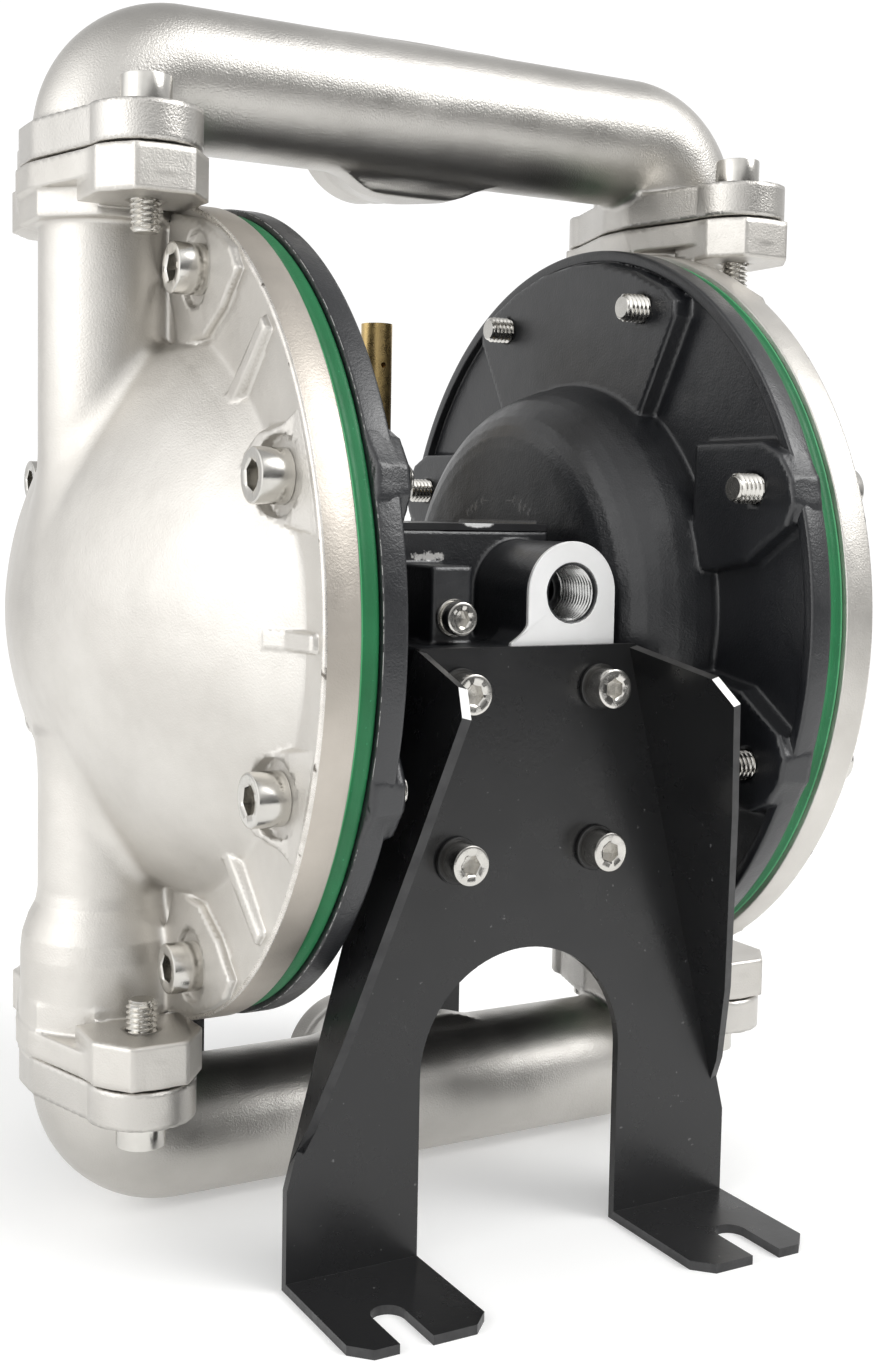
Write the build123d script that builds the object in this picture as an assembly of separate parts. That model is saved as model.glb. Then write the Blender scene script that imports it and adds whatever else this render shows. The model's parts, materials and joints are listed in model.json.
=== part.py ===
from build123d import *
from math import cos, sin, hypot, radians, sqrt
import os

# Air operated diaphragm pump, rebuilt from one photograph.
# Millimetres.  X runs along the diaphragm rod (left disc at -X), -Y is the
# front (air inlet and front bracket), +Y the back (fluid ports), +Z up.
# Everything is drawn about the rod's axis and moved at the end so that the
# origin is the middle of the footprint, on the floor.

# ---------------------------------------------------------------- driving sizes
R_DISC = 135.0          # outside radius of the clamped discs
X_COVER = 98.5          # outer face of the fluid cover flange
X_CLAMP_OUT = 86.9      # fluid cover / diaphragm
X_CLAMP_IN = 80.3       # diaphragm / air cover
X_LIP = 72.3            # air cover rim
X_FLOOR = 76.3          # recessed floor inside the rim
X_PAD = 68.5            # raised screw pads of the air cover
X_HUB = 30.0            # air cover hub / centre body
R_DIAPH = 133.4         # visible edge of the diaphragm
R_BOLT = 118.46         # pitch radius of the cover screws
COVER_ANGLES = [22.5 + 45.0 * i for i in range(8)]
X_RISER = 114.84        # axis of the vertical risers
R_RISER = 21.5
R_RISER_BORE = 16.0
R_BULGE = 27.6          # lower riser around the inlet ball
R_CAGE = 21.5
Z_JOINT = 144.3         # cover flange / manifold flange
T_MAN_FLANGE = 12.8
T_COV_FLANGE = 14.7
Y_LOBE = 39.4           # manifold screws
LOBE_END = 56.4
Z_TUBE = 177.8          # manifold tube axis above the rod axis
Z_TUBE_LOW = 178.6      # and below it
R_TUBE = 23.45
R_TUBE_BORE = 18.8
R_BEND = 23.8
R_PORT_BOSS = 24.7
Y_PORT_FACE = 47.0
R_PORT = 19.5           # G 1 1/4 female
L_PORT = 22.0
R_BALL = 16.0
R_THROAT = 12.7
R_SEAT = 22.5
T_SEAT = 8.0
BALL_LIFT = 8.0
R_ROD = 9.0
ROD_STROKE = 8.0
R_PLATE = 56.0
Y_FRONT_FACE = -81.7    # machined face the front bracket bolts to
Y_REAR_FACE = 99.0
T_SHEET = 3.0
Z_GROUND = -204.0
BRACKET_TOP_Z = -6.5
BRACKET_TOP_X = 41.1
BRACKET_LEG_X = 84.2
BRACKET_BEND_Z = -165.0
ARCH_R = 38.3
ARCH_Z = -143.3
FOOT_LEN = 47.8
SLOT_X = 64.5
SLOT_W = 11.0
SLOT_DEPTH = 23.0
WING_SPLAY = 6.5
INLET_X, INLET_Z, R_INLET = 17.3, 10.3, 9.3
L_INLET = 20.0
PILOT_STROKE = 3.0
SPOOL_STROKE = 8.0
Y_MID = (-R_DISC + Y_REAR_FACE + T_SHEET + FOOT_LEN) / 2

os.makedirs("parts", exist_ok=True)
NODES = {}


def cylx(r, x0, x1, y=0.0, z=0.0):
    return Pos((x0 + x1) / 2, y, z) * Rot(0, 90, 0) * Cylinder(r, abs(x1 - x0))


def cyly(r, y0, y1, x=0.0, z=0.0):
    return Pos(x, (y0 + y1) / 2, z) * Rot(90, 0, 0) * Cylinder(r, abs(y1 - y0))


def cylz(r, z0, z1, x=0.0, y=0.0):
    return Pos(x, y, (z0 + z1) / 2) * Cylinder(r, abs(z1 - z0))


def box(x0, x1, y0, y1, z0, z1):
    return Pos((x0 + x1) / 2, (y0 + y1) / 2, (z0 + z1) / 2) * Box(abs(x1 - x0), abs(y1 - y0), abs(z1 - z0))


def revx(pts):
    """Solid of revolution about X from (x, r) points."""
    face = Plane.XZ * make_face(Polyline(*[(p[0], p[1]) for p in pts], close=True))
    return revolve(face, Axis.X)


def revz(pts, x=0.0, y=0.0):
    """Solid of revolution about a vertical line from (r, z) points."""
    face = Plane.XZ * make_face(Polyline(*[(p[0], p[1]) for p in pts], close=True))
    return Pos(x, y, 0) * revolve(face, Axis.Z)


def prism_x(pts, x0, x1):
    """Polygon of (y, z) points extruded along X from x0 to x1."""
    face = Plane.YZ * make_face(Polyline(*pts, close=True))
    return Pos(x0, 0, 0) * extrude(face, x1 - x0)


def mirx(s):
    return mirror(s, about=Plane.YZ)


def one(s):
    """Largest solid of a result, as a plain solid."""
    sol = sorted(s.solids(), key=lambda q: q.volume)
    return sol[-1]


def group(items):
    out = []
    for it in items:
        out += it.solids()
    return Compound(children=out)


def put(name, s, single=True):
    shape = one(s) if single else group([s] if not isinstance(s, list) else s)
    shape = Pos(0, -Y_MID, -Z_GROUND) * shape
    NODES[name] = shape


def bolt_yz(angle, r=R_BOLT):
    return r * cos(radians(angle)), r * sin(radians(angle))


def hexagon_x(af, x0, x1, y=0.0, z=0.0):
    r = af / sqrt(3)
    return prism_x([(y + r * cos(radians(60 * i + 30)), z + r * sin(radians(60 * i + 30))) for i in range(6)], x0, x1)


def socket_screw(d, length, head_d, head_h, key):
    """Socket head screw along -Z: seat at z = 0, head above, shank below."""
    s = cylz(head_d / 2, 0, head_h) + cylz(d / 2, -length, 0.01)
    s = chamfer(s.edges().group_by(Axis.Z)[-1], 0.6)
    rk = key / sqrt(3)
    hexa = extrude(make_face(Polyline(*[(rk * cos(radians(60 * i)), rk * sin(radians(60 * i))) for i in range(6)], close=True)), head_h * 0.55)
    s = s - Pos(0, 0, head_h * 0.45) * hexa
    return s


# ---------------------------------------------------------------- fluid covers
DOME = [(143.3, 0.0), (142.6, 15.0), (139.9, 28.0), (135.0, 41.0), (127.7, 58.0), (121.8, 68.0), (115.4, 77.0),
        (109.5, 85.0), (105.2, 93.0), (X_COVER, 103.0)]
CAVITY = [(138.0, 0.0), (137.3, 13.0), (134.6, 25.0), (130.2, 37.0), (122.8, 54.0), (117.2, 63.5), (111.2, 72.0),
          (105.0, 80.0), (100.2, 87.5), (95.5, 95.0), (91.5, 104.0), (86.0, 112.5)]


def ring(x0, x1, r_out, r_in=0.0, r_hole=0.0):
    """Flat annulus along X, with the eight screw holes when r_hole is given."""
    face = Circle(r_out)
    if r_in:
        face -= Circle(r_in)
    if r_hole:
        for a in COVER_ANGLES:
            y, z = bolt_yz(a)
            face -= Pos(y, z) * Circle(r_hole)
    return Pos(x0, 0, 0) * extrude(Plane.YZ * face, x1 - x0)


def boss_tube(x0, x1, r_out, r_in, y, z):
    return Pos(x0, 0, 0) * extrude(Plane.YZ * (Pos(y, z) * (Circle(r_out) - Circle(r_in))), x1 - x0)


def flange_outline(half=27.0):
    pts = [(-11.5, -LOBE_END), (11.5, -LOBE_END), (17.2, -49.5), (17.6, -41.0), (half, -9.0), (half, 9.0),
           (17.6, 41.0), (17.2, 49.5), (11.5, LOBE_END), (-11.5, LOBE_END), (-17.2, 49.5), (-17.6, 41.0),
           (-half, 9.0), (-half, -9.0), (-17.6, -41.0), (-17.2, -49.5)]
    return make_face(Polyline(*pts, close=True))


def octagon(apothem):
    r = apothem / cos(radians(22.5))
    return make_face(Polyline(*[(r * cos(radians(22.5 + 45 * i)), r * sin(radians(22.5 + 45 * i))) for i in range(8)], close=True))


def cover_flange():
    """Two-lobed cover flange, its joint face at z = Z_JOINT."""
    face = flange_outline()
    web = Pos(X_RISER, 0, Z_JOINT - 8.6) * extrude(face, 8.6)
    lobes = Pos(X_RISER, 0, Z_JOINT - T_COV_FLANGE) * extrude(face, T_COV_FLANGE)
    keep = box(X_RISER - 40, X_RISER + 40, 29.5, 70, 100, 160) + box(X_RISER - 40, X_RISER + 40, -70, -29.5, 100, 160)
    collar = Pos(X_RISER, 0, Z_JOINT - 16.4) * extrude(octagon(25.8), 9.0)
    return web + (lobes & keep) + collar


def fluid_cover():
    body = ring(X_CLAMP_OUT, X_COVER, R_DISC, 0.0, 5.5)
    body = chamfer(body.edges().filter_by(GeomType.CIRCLE).group_by(Axis.X)[-1].sort_by(SortBy.LENGTH)[-1], 0.8)
    body += revx([(X_COVER - 6.0, 0.0), (X_COVER - 6.0, 90.0), (X_COVER, 103.0)] + DOME[::-1][1:])
    for a in COVER_ANGLES:
        y, z = bolt_yz(a)
        body += boss_tube(X_COVER - 0.6, 99.0, 14.2, 5.5, y, z)
    # ribs between the screws
    for a in (0.0, 180.0, 45.0, 135.0, 225.0, 315.0):
        body += Rot(a, 0, 0) * box(92.0, 103.6, -128.0, -94.0, -2.6, 2.6)
    body += cylz(R_RISER, -Z_JOINT + 4, Z_JOINT - 4, X_RISER)
    body += revz([(0, -Z_JOINT + 10), (R_BULGE, -Z_JOINT + 10), (R_BULGE, -104.0), (R_BULGE - 1.4, -101.0), (R_RISER, -94.0), (0, -94.0)], X_RISER)
    body += cover_flange()
    body += mirror(cover_flange(), about=Plane.XY)
    # room for the screw heads beside the risers
    for a in COVER_ANGLES:
        y, z = bolt_yz(a)
        body -= cylx(9.0, 99.0, 125.0, y, z)
    # wet side
    cav = [(X_CLAMP_OUT - 2, 0.0)] + [(X_CLAMP_OUT - 2, 113.0)] + CAVITY[::-1]
    body -= revx(cav)
    body -= cylz(R_RISER_BORE, -Z_JOINT - 1, Z_JOINT + 1, X_RISER)
    body -= cylz(R_SEAT + 0.2, Z_JOINT - T_SEAT, Z_JOINT + 1, X_RISER)
    cage = revz([(0, -Z_JOINT - 1), (R_SEAT + 0.2, -Z_JOINT - 1), (R_SEAT + 0.2, -Z_JOINT + T_SEAT), (R_CAGE, -Z_JOINT + T_SEAT),
                 (R_CAGE, -106.0), (R_RISER_BORE, -98.0), (0, -98.0)], X_RISER)
    stops = box(X_RISER - 24, X_RISER + 24, -2.0, 2.0, Z_IN_STOP, -96.0) + box(X_RISER - 2.0, X_RISER + 2.0, -24, 24, Z_IN_STOP, -96.0)
    body -= cage - stops
    body += stops & revz([(0, Z_IN_STOP), (R_CAGE + 1, Z_IN_STOP), (R_CAGE + 1, -106.0), (R_RISER_BORE + 1, -98.0), (R_RISER_BORE + 1, -96.0), (0, -96.0)], X_RISER)
    # screw holes of the two joints
    for y in (-Y_LOBE, Y_LOBE):
        body -= cylz(5.2, 100.0, Z_JOINT + 1, X_RISER, y) & box(X_RISER - 10, X_RISER + 10, -60, 60, Z_JOINT - T_COV_FLANGE - 0.5, Z_JOINT + 1)
        body -= cylz(5.2, -Z_JOINT - 1, -Z_JOINT + T_COV_FLANGE + 0.5, X_RISER, y)
    return body


# the ball rests 0.3 clear of its seat
BALL_DROP = sqrt(R_BALL ** 2 - R_THROAT ** 2)
Z_SEAT_EDGE_IN = -Z_JOINT + T_SEAT - 2.5
Z_BALL_IN = Z_SEAT_EDGE_IN + BALL_DROP + 0.3
Z_IN_STOP = Z_BALL_IN + BALL_LIFT + R_BALL + 0.4
Z_SEAT_EDGE_OUT = Z_JOINT - 2.5
Z_BALL_OUT = Z_SEAT_EDGE_OUT + BALL_DROP + 0.3
Z_OUT_STOP = Z_BALL_OUT + BALL_LIFT + R_BALL + 0.4

cover_r = fluid_cover()
put("right_fluid_cover", cover_r)
put("left_fluid_cover", mirx(cover_r))


# ---------------------------------------------------------------- manifolds
def manifold(zt):
    """Manifold above the pump; zt is the height of the tube's axis."""
    zb = zt - R_BEND
    xb = X_RISER - R_BEND

    def run(r):
        s = cylx(r, -xb, xb, 0, zt)
        prof = Pos(X_RISER, 0, zb) * (Plane.XY * Circle(r))
        bend = revolve(prof, Axis((xb, 0, zb), (0, -1, 0)), 90)
        s += bend
        s += mirx(bend)
        for sx in (-1, 1):
            s += cylz(r, Z_JOINT, zb, sx * X_RISER)
        return s

    s = run(R_TUBE)
    for sx in (-1, 1):
        s += Pos(sx * X_RISER, 0, Z_JOINT) * extrude(flange_outline(27.0), T_MAN_FLANGE)
    s += cyly(R_PORT_BOSS, 4.0, Y_PORT_FACE, 0, zt)
    cone = revolve(Plane.XY * make_face(Polyline((0, 2.0), (36.0, 2.0), (R_PORT_BOSS, 26.0), (0, 26.0), close=True)), Axis.Y)
    wedge = Pos(0, 0, zt) * cone
    s += wedge & (box(-60, 60, -10, 60, zt - 24.0, zt + 24.0))
    s -= run(R_TUBE_BORE)
    s -= cyly(R_PORT, Y_PORT_FACE - L_PORT, Y_PORT_FACE + 1, 0, zt)
    s -= cyly(R_PORT - 1.5, 0, Y_PORT_FACE, 0, zt)
    for sx in (-1, 1):
        s -= cylz(R_TUBE_BORE, Z_JOINT - 1, Z_JOINT + 6, sx * X_RISER)
        ring = cylz(25.3, Z_JOINT - 1, Z_JOINT + 2.1, sx * X_RISER) - cylz(23.1, Z_JOINT - 2, Z_JOINT + 3, sx * X_RISER)
        s -= ring
        for sy in (-1, 1):
            s -= cylz(5.5, Z_JOINT - 1, Z_JOINT + 30, sx * X_RISER, sy * Y_LOBE) & box(-200, 200, -70, 70, Z_JOINT - 1, Z_JOINT + T_MAN_FLANGE + 14)
    return s


man_top = manifold(Z_TUBE)
for sx in (-1, 1):
    man_top += cylz(4.0, Z_OUT_STOP, Z_TUBE + R_TUBE - 8.2, sx * X_RISER)
put("top_manifold", man_top)
put("bottom_manifold", mirror(manifold(Z_TUBE_LOW), about=Plane.XY))


# ---------------------------------------------------------------- seats and balls
def seat():
    return revz([(R_THROAT, -T_SEAT), (R_SEAT, -T_SEAT), (R_SEAT, 0), (R_THROAT + 2.5, 0), (R_THROAT, -2.5)])


for side, sx in (("left", -1), ("right", 1)):
    put("outlet_seat_" + side, Pos(sx * X_RISER, 0, Z_JOINT) * seat())
    put("inlet_seat_" + side, Pos(sx * X_RISER, 0, -Z_JOINT + T_SEAT) * seat())
    put("outlet_ball_" + side, Pos(sx * X_RISER, 0, Z_BALL_OUT) * Sphere(R_BALL))
    put("inlet_ball_" + side, Pos(sx * X_RISER, 0, Z_BALL_IN) * Sphere(R_BALL))
rings = []
for sx in (-1, 1):
    for sz in (-1, 1):
        rings.append(revz([(23.3, sz * (Z_JOINT + 0.6)), (23.8, sz * (Z_JOINT + 0.05)), (24.6, sz * (Z_JOINT + 0.05)), (25.1, sz * (Z_JOINT + 0.6)),
                           (25.1, sz * (Z_JOINT + 1.5)), (24.6, sz * (Z_JOINT + 2.0)), (23.8, sz * (Z_JOINT + 2.0)), (23.3, sz * (Z_JOINT + 1.5))], sx * X_RISER))
put("joint_o_rings", rings, False)


# ---------------------------------------------------------------- diaphragms
def diaphragm():
    s = ring(X_CLAMP_IN, X_CLAMP_OUT, R_DIAPH, 112.6, 5.5)
    s += revx([(X_CLAMP_IN, 113.0), (X_CLAMP_OUT, 113.0), (86.3, 110.5), (88.0, 96.0), (90.6, 80.0),
               (93.2, 65.0), (93.75, 61.0), (93.75, 6.4), (90.25, 6.4), (90.25, 59.5), (89.7, 63.5), (87.0, 79.5), (84.4, 95.5),
               (82.2, 108.8), (X_CLAMP_IN, 111.5)])
    return s


dia = diaphragm()
put("right_diaphragm", dia)
put("left_diaphragm", mirx(dia))

# ---------------------------------------------------------------- air covers
AIR_DOME = [(X_FLOOR, 85.0), (67.0, 84.2), (61.0, 82.9), (55.0, 80.8), (50.0, 78.4), (46.0, 75.4), (43.0, 72.3), (40.5, 68.6), (38.9, 64.6),
            (38.3, 60.0), (37.8, 46.0), (37.8, 0.0)]
AIR_CAVITY = [(X_CLAMP_IN + 1, 80.4), (70.0, 80.4), (61.5, 78.9), (56.0, 76.9), (51.5, 74.5), (48.2, 71.6), (45.6, 68.0), (43.6, 63.6), (42.6, 58.5), (42.2, 46.0), (42.2, 0.0)]
R_HUB = 42.0           # neck that meets the centre body, cut flat under the roof plate
PETAL = [(-78.0, 62.0), (-112.0, 62.0), (-122.0, 57.5), (-128.5, 49.0), (-130.0, 41.0), (-126.0, 33.0), (-106.0, 20.0), (-78.0, 16.0)]
PAD = [(-46.5, 74.0), (-66.0, 106.0), (-65.5, 112.0), (-59.0, 117.0), (-40.0, 125.0), (-20.0, 129.8), (0.0, 131.3),
       (20.0, 129.8), (40.0, 125.0), (59.0, 117.0), (65.5, 112.0), (66.0, 106.0), (46.5, 74.0)]


def pad_face(pts):
    face = make_face(Polyline(*pts, close=True))
    for a in COVER_ANGLES:
        y, z = bolt_yz(a)
        face -= Pos(y, z) * Circle(5.1)
    return Pos(X_PAD, 0, 0) * extrude(Plane.YZ * face, X_CLAMP_IN - 0.5 - X_PAD)


def air_cover():
    s = ring(X_FLOOR, X_CLAMP_IN, R_DISC, 0.0, 5.1)
    lip = ring(X_LIP, X_FLOOR + 1, R_DISC, 131.2)
    lip = chamfer(lip.edges().filter_by(GeomType.CIRCLE).group_by(Axis.X)[0].sort_by(SortBy.LENGTH)[-1], 0.8)
    s += lip
    s += revx([(X_FLOOR + 2.0, 0.0), (X_FLOOR + 2.0, 80.0)] + AIR_DOME)
    s += cylx(R_HUB, X_HUB, 40.0) & box(X_HUB, 40.0, -43.0, 43.0, -43.0, 32.0)
    for sy in (1, -1):
        for sz in (1, -1):
            s += pad_face([(sy * y, sz * z) for y, z in PETAL])
    for sz in (1, -1):
        s += pad_face([(y, sz * z) for y, z in PAD])
    s -= revx([(X_CLAMP_IN + 1, 0.0)] + AIR_CAVITY)
    s -= cylx(39.2, 36.5, 43.0) & box(36.4, 43.1, -40.0, 40.0, -40.0, 29.6)
    s -= cylx(14.0, X_HUB - 1, 38.0)
    for a in (45, 135, 225, 315):
        y, z = bolt_yz(a, 32.0)
        s -= cylx(4.5, X_HUB - 1, 38.0, y, z)
    s -= cylx(4.4, X_HUB - 1, 38.0, 0, -28.0)
    return s


air_r = air_cover()
put("right_air_cover", air_r)
put("left_air_cover", mirx(air_r))

# ---------------------------------------------------------------- centre body
Z_BODY_TOP = 30.0
VALVE = dict(x=29.0, y0=50.0, y1=96.0, z0=-2.0, z1=31.0, yc=73.0, zc=14.5, r=7.6, liner=9.6, sx=25.2, sz=(2.2, 26.8), cap=4.0)


def centre_body():
    s = cylx(42.0, -X_HUB, X_HUB) & box(-40, 40, -50, 50, -50, Z_BODY_TOP)
    s += box(-X_HUB, X_HUB, -47.0, 48.5, -10.0, Z_BODY_TOP)
    s += box(-X_HUB, X_HUB, -62.0, 64.0, -90.0, -6.5)
    s += box(-36.0, 36.0, Y_FRONT_FACE, -60.0, -90.0, -6.5)
    s += box(-36.0, 36.0, 62.0, Y_REAR_FACE, -90.0, -6.5)
    # air inlet boss
    s += cyly(16.75, Y_FRONT_FACE, -46.0, INLET_X, INLET_Z)
    s += box(INLET_X - 16.75, INLET_X + 16.75, Y_FRONT_FACE, -46.0, -10.0, INLET_Z)
    flare = Plane.XZ * make_face(Polyline((1.2, -8.0), (1.2, -1.6), (-1.2, -4.6), (-5.5, -6.6), (-5.5, -8.0), close=True))
    s += Pos(0, -60.0, 0) * extrude(flare, -60.0 - Y_FRONT_FACE)
    # lug with the plug screw
    s += box(-28.0, -13.2, -69.0, -40.0, -8.0, 19.0)
    # rod, bushes, pilot
    s -= cylx(9.6, -X_HUB - 1, X_HUB + 1)
    for sx in (-1, 1):
        s -= cylx(13.0, sx * 12.0, sx * (X_HUB + 1))
        s -= cylx(7.0, sx * 20.0, sx * (X_HUB + 1), 0, -28.0)
        for a in (45, 135, 225, 315):
            y, z = bolt_yz(a, 32.0)
            s -= cylx(4.1, sx * 13.0, sx * (X_HUB + 1), y, z)
    s -= cylx(4.4, -X_HUB - 1, X_HUB + 1, 0, -28.0)
    # air inlet
    s -= cyly(R_INLET, Y_FRONT_FACE - 1, Y_FRONT_FACE + L_INLET, INLET_X, INLET_Z)
    s -= cyly(6.0, Y_FRONT_FACE, -34.0, INLET_X, INLET_Z)
    # bracket screw holes
    for x in (-26.5, 26.5):
        for z in (-20.3, -74.0):
            s -= cyly(4.1, Y_FRONT_FACE - 1, Y_FRONT_FACE + 18.0, x, z)
            s -= cyly(4.1, Y_REAR_FACE + 1, Y_REAR_FACE - 18.0, x, z)
    # plug screw hole
    s -= cyly(4.1, -70.0, -56.0, -20.6, 2.0)
    # valve block screw holes
    for x in (-VALVE["sx"], VALVE["sx"]):
        for z in VALVE["sz"]:
            s -= cyly(2.1, 49.0, 36.0, x, z)
    for x in (-22.0, 22.0):
        for y in (-36.0, 36.0):
            s -= cylz(2.6, 18.0, Z_BODY_TOP + 1, x, y)
    # exhaust and feed passages
    s -= cyly(5.0, 36.0, 49.0, 0, 14.5)
    return s


put("centre_body", centre_body())

top_plate = box(-29.4, 29.4, -47.0, 45.0, Z_BODY_TOP, Z_BODY_TOP + 2.4)
for x in (-22.0, 22.0):
    for y in (-36.0, 36.0):
        top_plate -= cylz(2.8, Z_BODY_TOP - 1, Z_BODY_TOP + 4, x, y)
        top_plate -= revz([(0.0, Z_BODY_TOP + 0.6), (2.8, Z_BODY_TOP + 0.6), (4.6, Z_BODY_TOP + 2.4), (4.6, Z_BODY_TOP + 4.0), (0.0, Z_BODY_TOP + 4.0)], x, y)
put("top_plate", top_plate)


def flush_screw(d, length, head_d, cone, key):
    """Countersunk screw along -Z with its head's top at z = 0."""
    s = revz([(0.0, 0.0), (head_d / 2, 0.0), (d / 2, -cone), (d / 2, -length), (0.0, -length)])
    rk = key / sqrt(3)
    hexa = extrude(make_face(Polyline(*[(rk * cos(radians(60 * i)), rk * sin(radians(60 * i))) for i in range(6)], close=True)), 3.0)
    return s - Pos(0, 0, -1.6) * hexa


put("top_plate_screws", [Pos(x, y, Z_BODY_TOP + 2.4) * flush_screw(5.0, 14.0, 8.6, 1.9, 3.0) for x in (-22.0, 22.0) for y in (-36.0, 36.0)], False)

# plug screw with its washer on the small lug
put("plug_washer", cyly(6.2, -70.4, -69.0, -20.6, 2.0) - cyly(4.2, -72.0, -68.0, -20.6, 2.0))
put("plug_screw", Pos(-20.6, -70.4, 2.0) * (Rot(90, 0, 0) * socket_screw(8.0, 12.0, 11.0, 5.5, 5.0)))

# ---------------------------------------------------------------- main air valve
V = VALVE
gasket = box(-29.0, 29.0, 48.5, V["y0"], -1.0, 29.5)
gasket -= cyly(5.0, 47.0, 52.0, 0, 14.5)
for x in (-V["sx"], V["sx"]):
    for z in V["sz"]:
        gasket -= cyly(2.2, 47.0, 52.0, x, z)
put("valve_gasket", gasket)

block = box(-V["x"], V["x"], V["y0"], V["y1"], V["z0"], V["z1"])
block = chamfer(block.edges().filter_by(Axis.X), 2.0)
block -= cylx(V["liner"], -V["x"] - 1, V["x"] + 1, V["yc"], V["zc"])
block -= cyly(5.0, V["y0"] - 1, V["yc"] - 8, 0, 14.5)
for x in (-V["sx"], V["sx"]):
    for z in V["sz"]:
        block -= cyly(2.15, V["y0"] - 1, V["y1"] + 1, x, z)
for sx in (-1, 1):
    for y in (V["yc"] - 14.5, V["yc"] + 14.5):
        for z in (V["zc"] - 6.0, V["zc"] + 6.0):
            block -= cylx(2.1, sx * (V["x"] - 4.2), sx * (V["x"] + 1), y, z)
block -= cylz(5.2, V["z1"] - 5.4, V["z1"] + 1, 17.3, 60.5)
put("valve_block", block)
put("valve_block_screws", [Pos(x, V["y1"], z) * (Rot(-90, 0, 0) * socket_screw(4.0, 56.0, 7.0, 4.0, 3.0)) for x in (-V["sx"], V["sx"]) for z in V["sz"]], False)

liner = cylx(V["liner"], -V["x"], V["x"], V["yc"], V["zc"]) - cylx(V["r"], -V["x"] - 1, V["x"] + 1, V["yc"], V["zc"])
for x in (-18.0, 0.0, 18.0):
    liner -= cyly(2.5, V["yc"] - 14, V["yc"] - 8, x, V["zc"])
put("valve_liner", liner)
caps = []
for side, sx in (("left", -1), ("right", 1)):
    c = box(sx * V["x"], sx * (V["x"] + V["cap"]), V["yc"] - 20.0, V["yc"] + 20.0, V["z0"] + 0.5, V["z1"] - 0.5)
    for y in (V["yc"] - 14.5, V["yc"] + 14.5):
        for z in (V["zc"] - 6.0, V["zc"] + 6.0):
            c -= cylx(2.3, sx * (V["x"] - 1), sx * (V["x"] + 6), y, z)
            scr = socket_screw(4.0, 7.6, 7.0, 4.0, 3.0)
            caps.append(Pos(sx * (V["x"] + V["cap"]), y, z) * (Rot(0, 90 * sx, 0) * scr))
    put("valve_cap_" + side, c)
put("valve_cap_screws", caps, False)

spool_len = 40.0
sp = cylx(4.2, -spool_len / 2, spool_len / 2, V["yc"], V["zc"])
for x in (-16.5, 0.0, 16.5):
    sp += cylx(V["r"] - 0.06, x - 3.5, x + 3.5, V["yc"], V["zc"])
seals = []
for x in (-16.5, 0.0, 16.5):
    g = cylx(V["r"] + 1, x - 1.2, x + 1.2, V["yc"], V["zc"]) - cylx(5.6, x - 2, x + 2, V["yc"], V["zc"])
    sp -= g
    seals.append(cylx(V["r"] - 0.03, x - 1.15, x + 1.15, V["yc"], V["zc"]) - cylx(5.65, x - 2, x + 2, V["yc"], V["zc"]))
put("valve_spool", sp)
put("valve_spool_seals", seals, False)

# brass exhaust tube standing on the valve block
tube = cylz(6.2, V["z1"], 110.0, 17.3, 60.5) + cylz(5.1, V["z1"] - 5.2, V["z1"] + 0.1, 17.3, 60.5)
tube = tube - cylz(4.4, V["z1"] - 12, 111.0, 17.3, 60.5)
tube -= Pos(17.3, 60.5, 93.6) * (Rot(90, 0, 0) * Cylinder(1.05, 30))
put("exhaust_tube", tube)

# ---------------------------------------------------------------- rod assembly
rod = cylx(R_ROD, -82.25, 82.25) + cylx(6.0, -104.0, 104.0)
put("diaphragm_rod", rod)
for side, sx in (("left", -1), ("right", 1)):
    inner = revx([(82.25, 6.2), (82.25, 44.0), (84.5, 52.0), (86.5, R_PLATE), (88.5, R_PLATE), (90.25, 52.0), (90.25, 6.2)])
    outer = revx([(93.75, 6.2), (93.75, 52.0), (95.0, R_PLATE), (96.6, R_PLATE), (99.0, 48.0), (101.5, 26.0), (102.0, 12.0), (102.0, 6.2)])
    nut = hexagon_x(19.0, 102.0, 110.0)
    nut = nut + cylx(9.0, 108.0, 113.0)
    nut -= cylx(6.05, 101.0, 106.0)
    bush = cylx(13.0, 12.0, X_HUB) - cylx(R_ROD + 0.05, 11.0, X_HUB + 1)
    seal = cylx(13.95, X_HUB, 36.4) - cylx(R_ROD + 0.05, X_HUB - 1, 37.0)
    pbush = cylx(7.0, 20.0, X_HUB, 0, -28.0) - cylx(4.05, 19.0, X_HUB + 1, 0, -28.0)
    for nm, s in (("inner_plate", inner), ("outer_plate", outer), ("rod_nut", nut), ("rod_bush", bush), ("rod_seal", seal), ("pilot_bush", pbush)):
        put(nm + "_" + side, s if sx > 0 else mirx(s))
put("pilot_rod", cylx(4.0, -76.8, 76.8, 0, -28.0))

# ---------------------------------------------------------------- screws
for side, sx in (("left", -1), ("right", 1)):
    scr = []
    for a in COVER_ANGLES:
        y, z = bolt_yz(a)
        scr.append(Pos(sx * 99.0, y, z) * (Rot(0, 90 * sx, 0) * socket_screw(10.0, 39.3, 16.0, 10.0, 8.0)))
    put(side + "_cover_screws", scr, False)
    hub = []
    for a in (45, 135, 225, 315):
        y, z = bolt_yz(a, 32.0)
        hub.append(Pos(sx * 36.5, y, z) * (Rot(0, 90 * sx, 0) * socket_screw(8.0, 22.0, 13.0, 8.0, 6.0)))
    put(side + "_hub_screws", hub, False)
for nm, sz in (("top", 1), ("bottom", -1)):
    scr = []
    for sx in (-1, 1):
        for y in (-Y_LOBE, Y_LOBE):
            one_scr = socket_screw(10.0, 37.2, 16.0, 10.0, 8.0)
            if sz < 0:
                one_scr = Rot(180, 0, 0) * one_scr
            scr.append(Pos(sx * X_RISER, y, sz * (Z_JOINT + T_MAN_FLANGE)) * one_scr)
    put(nm + "_manifold_screws", scr, False)


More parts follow.
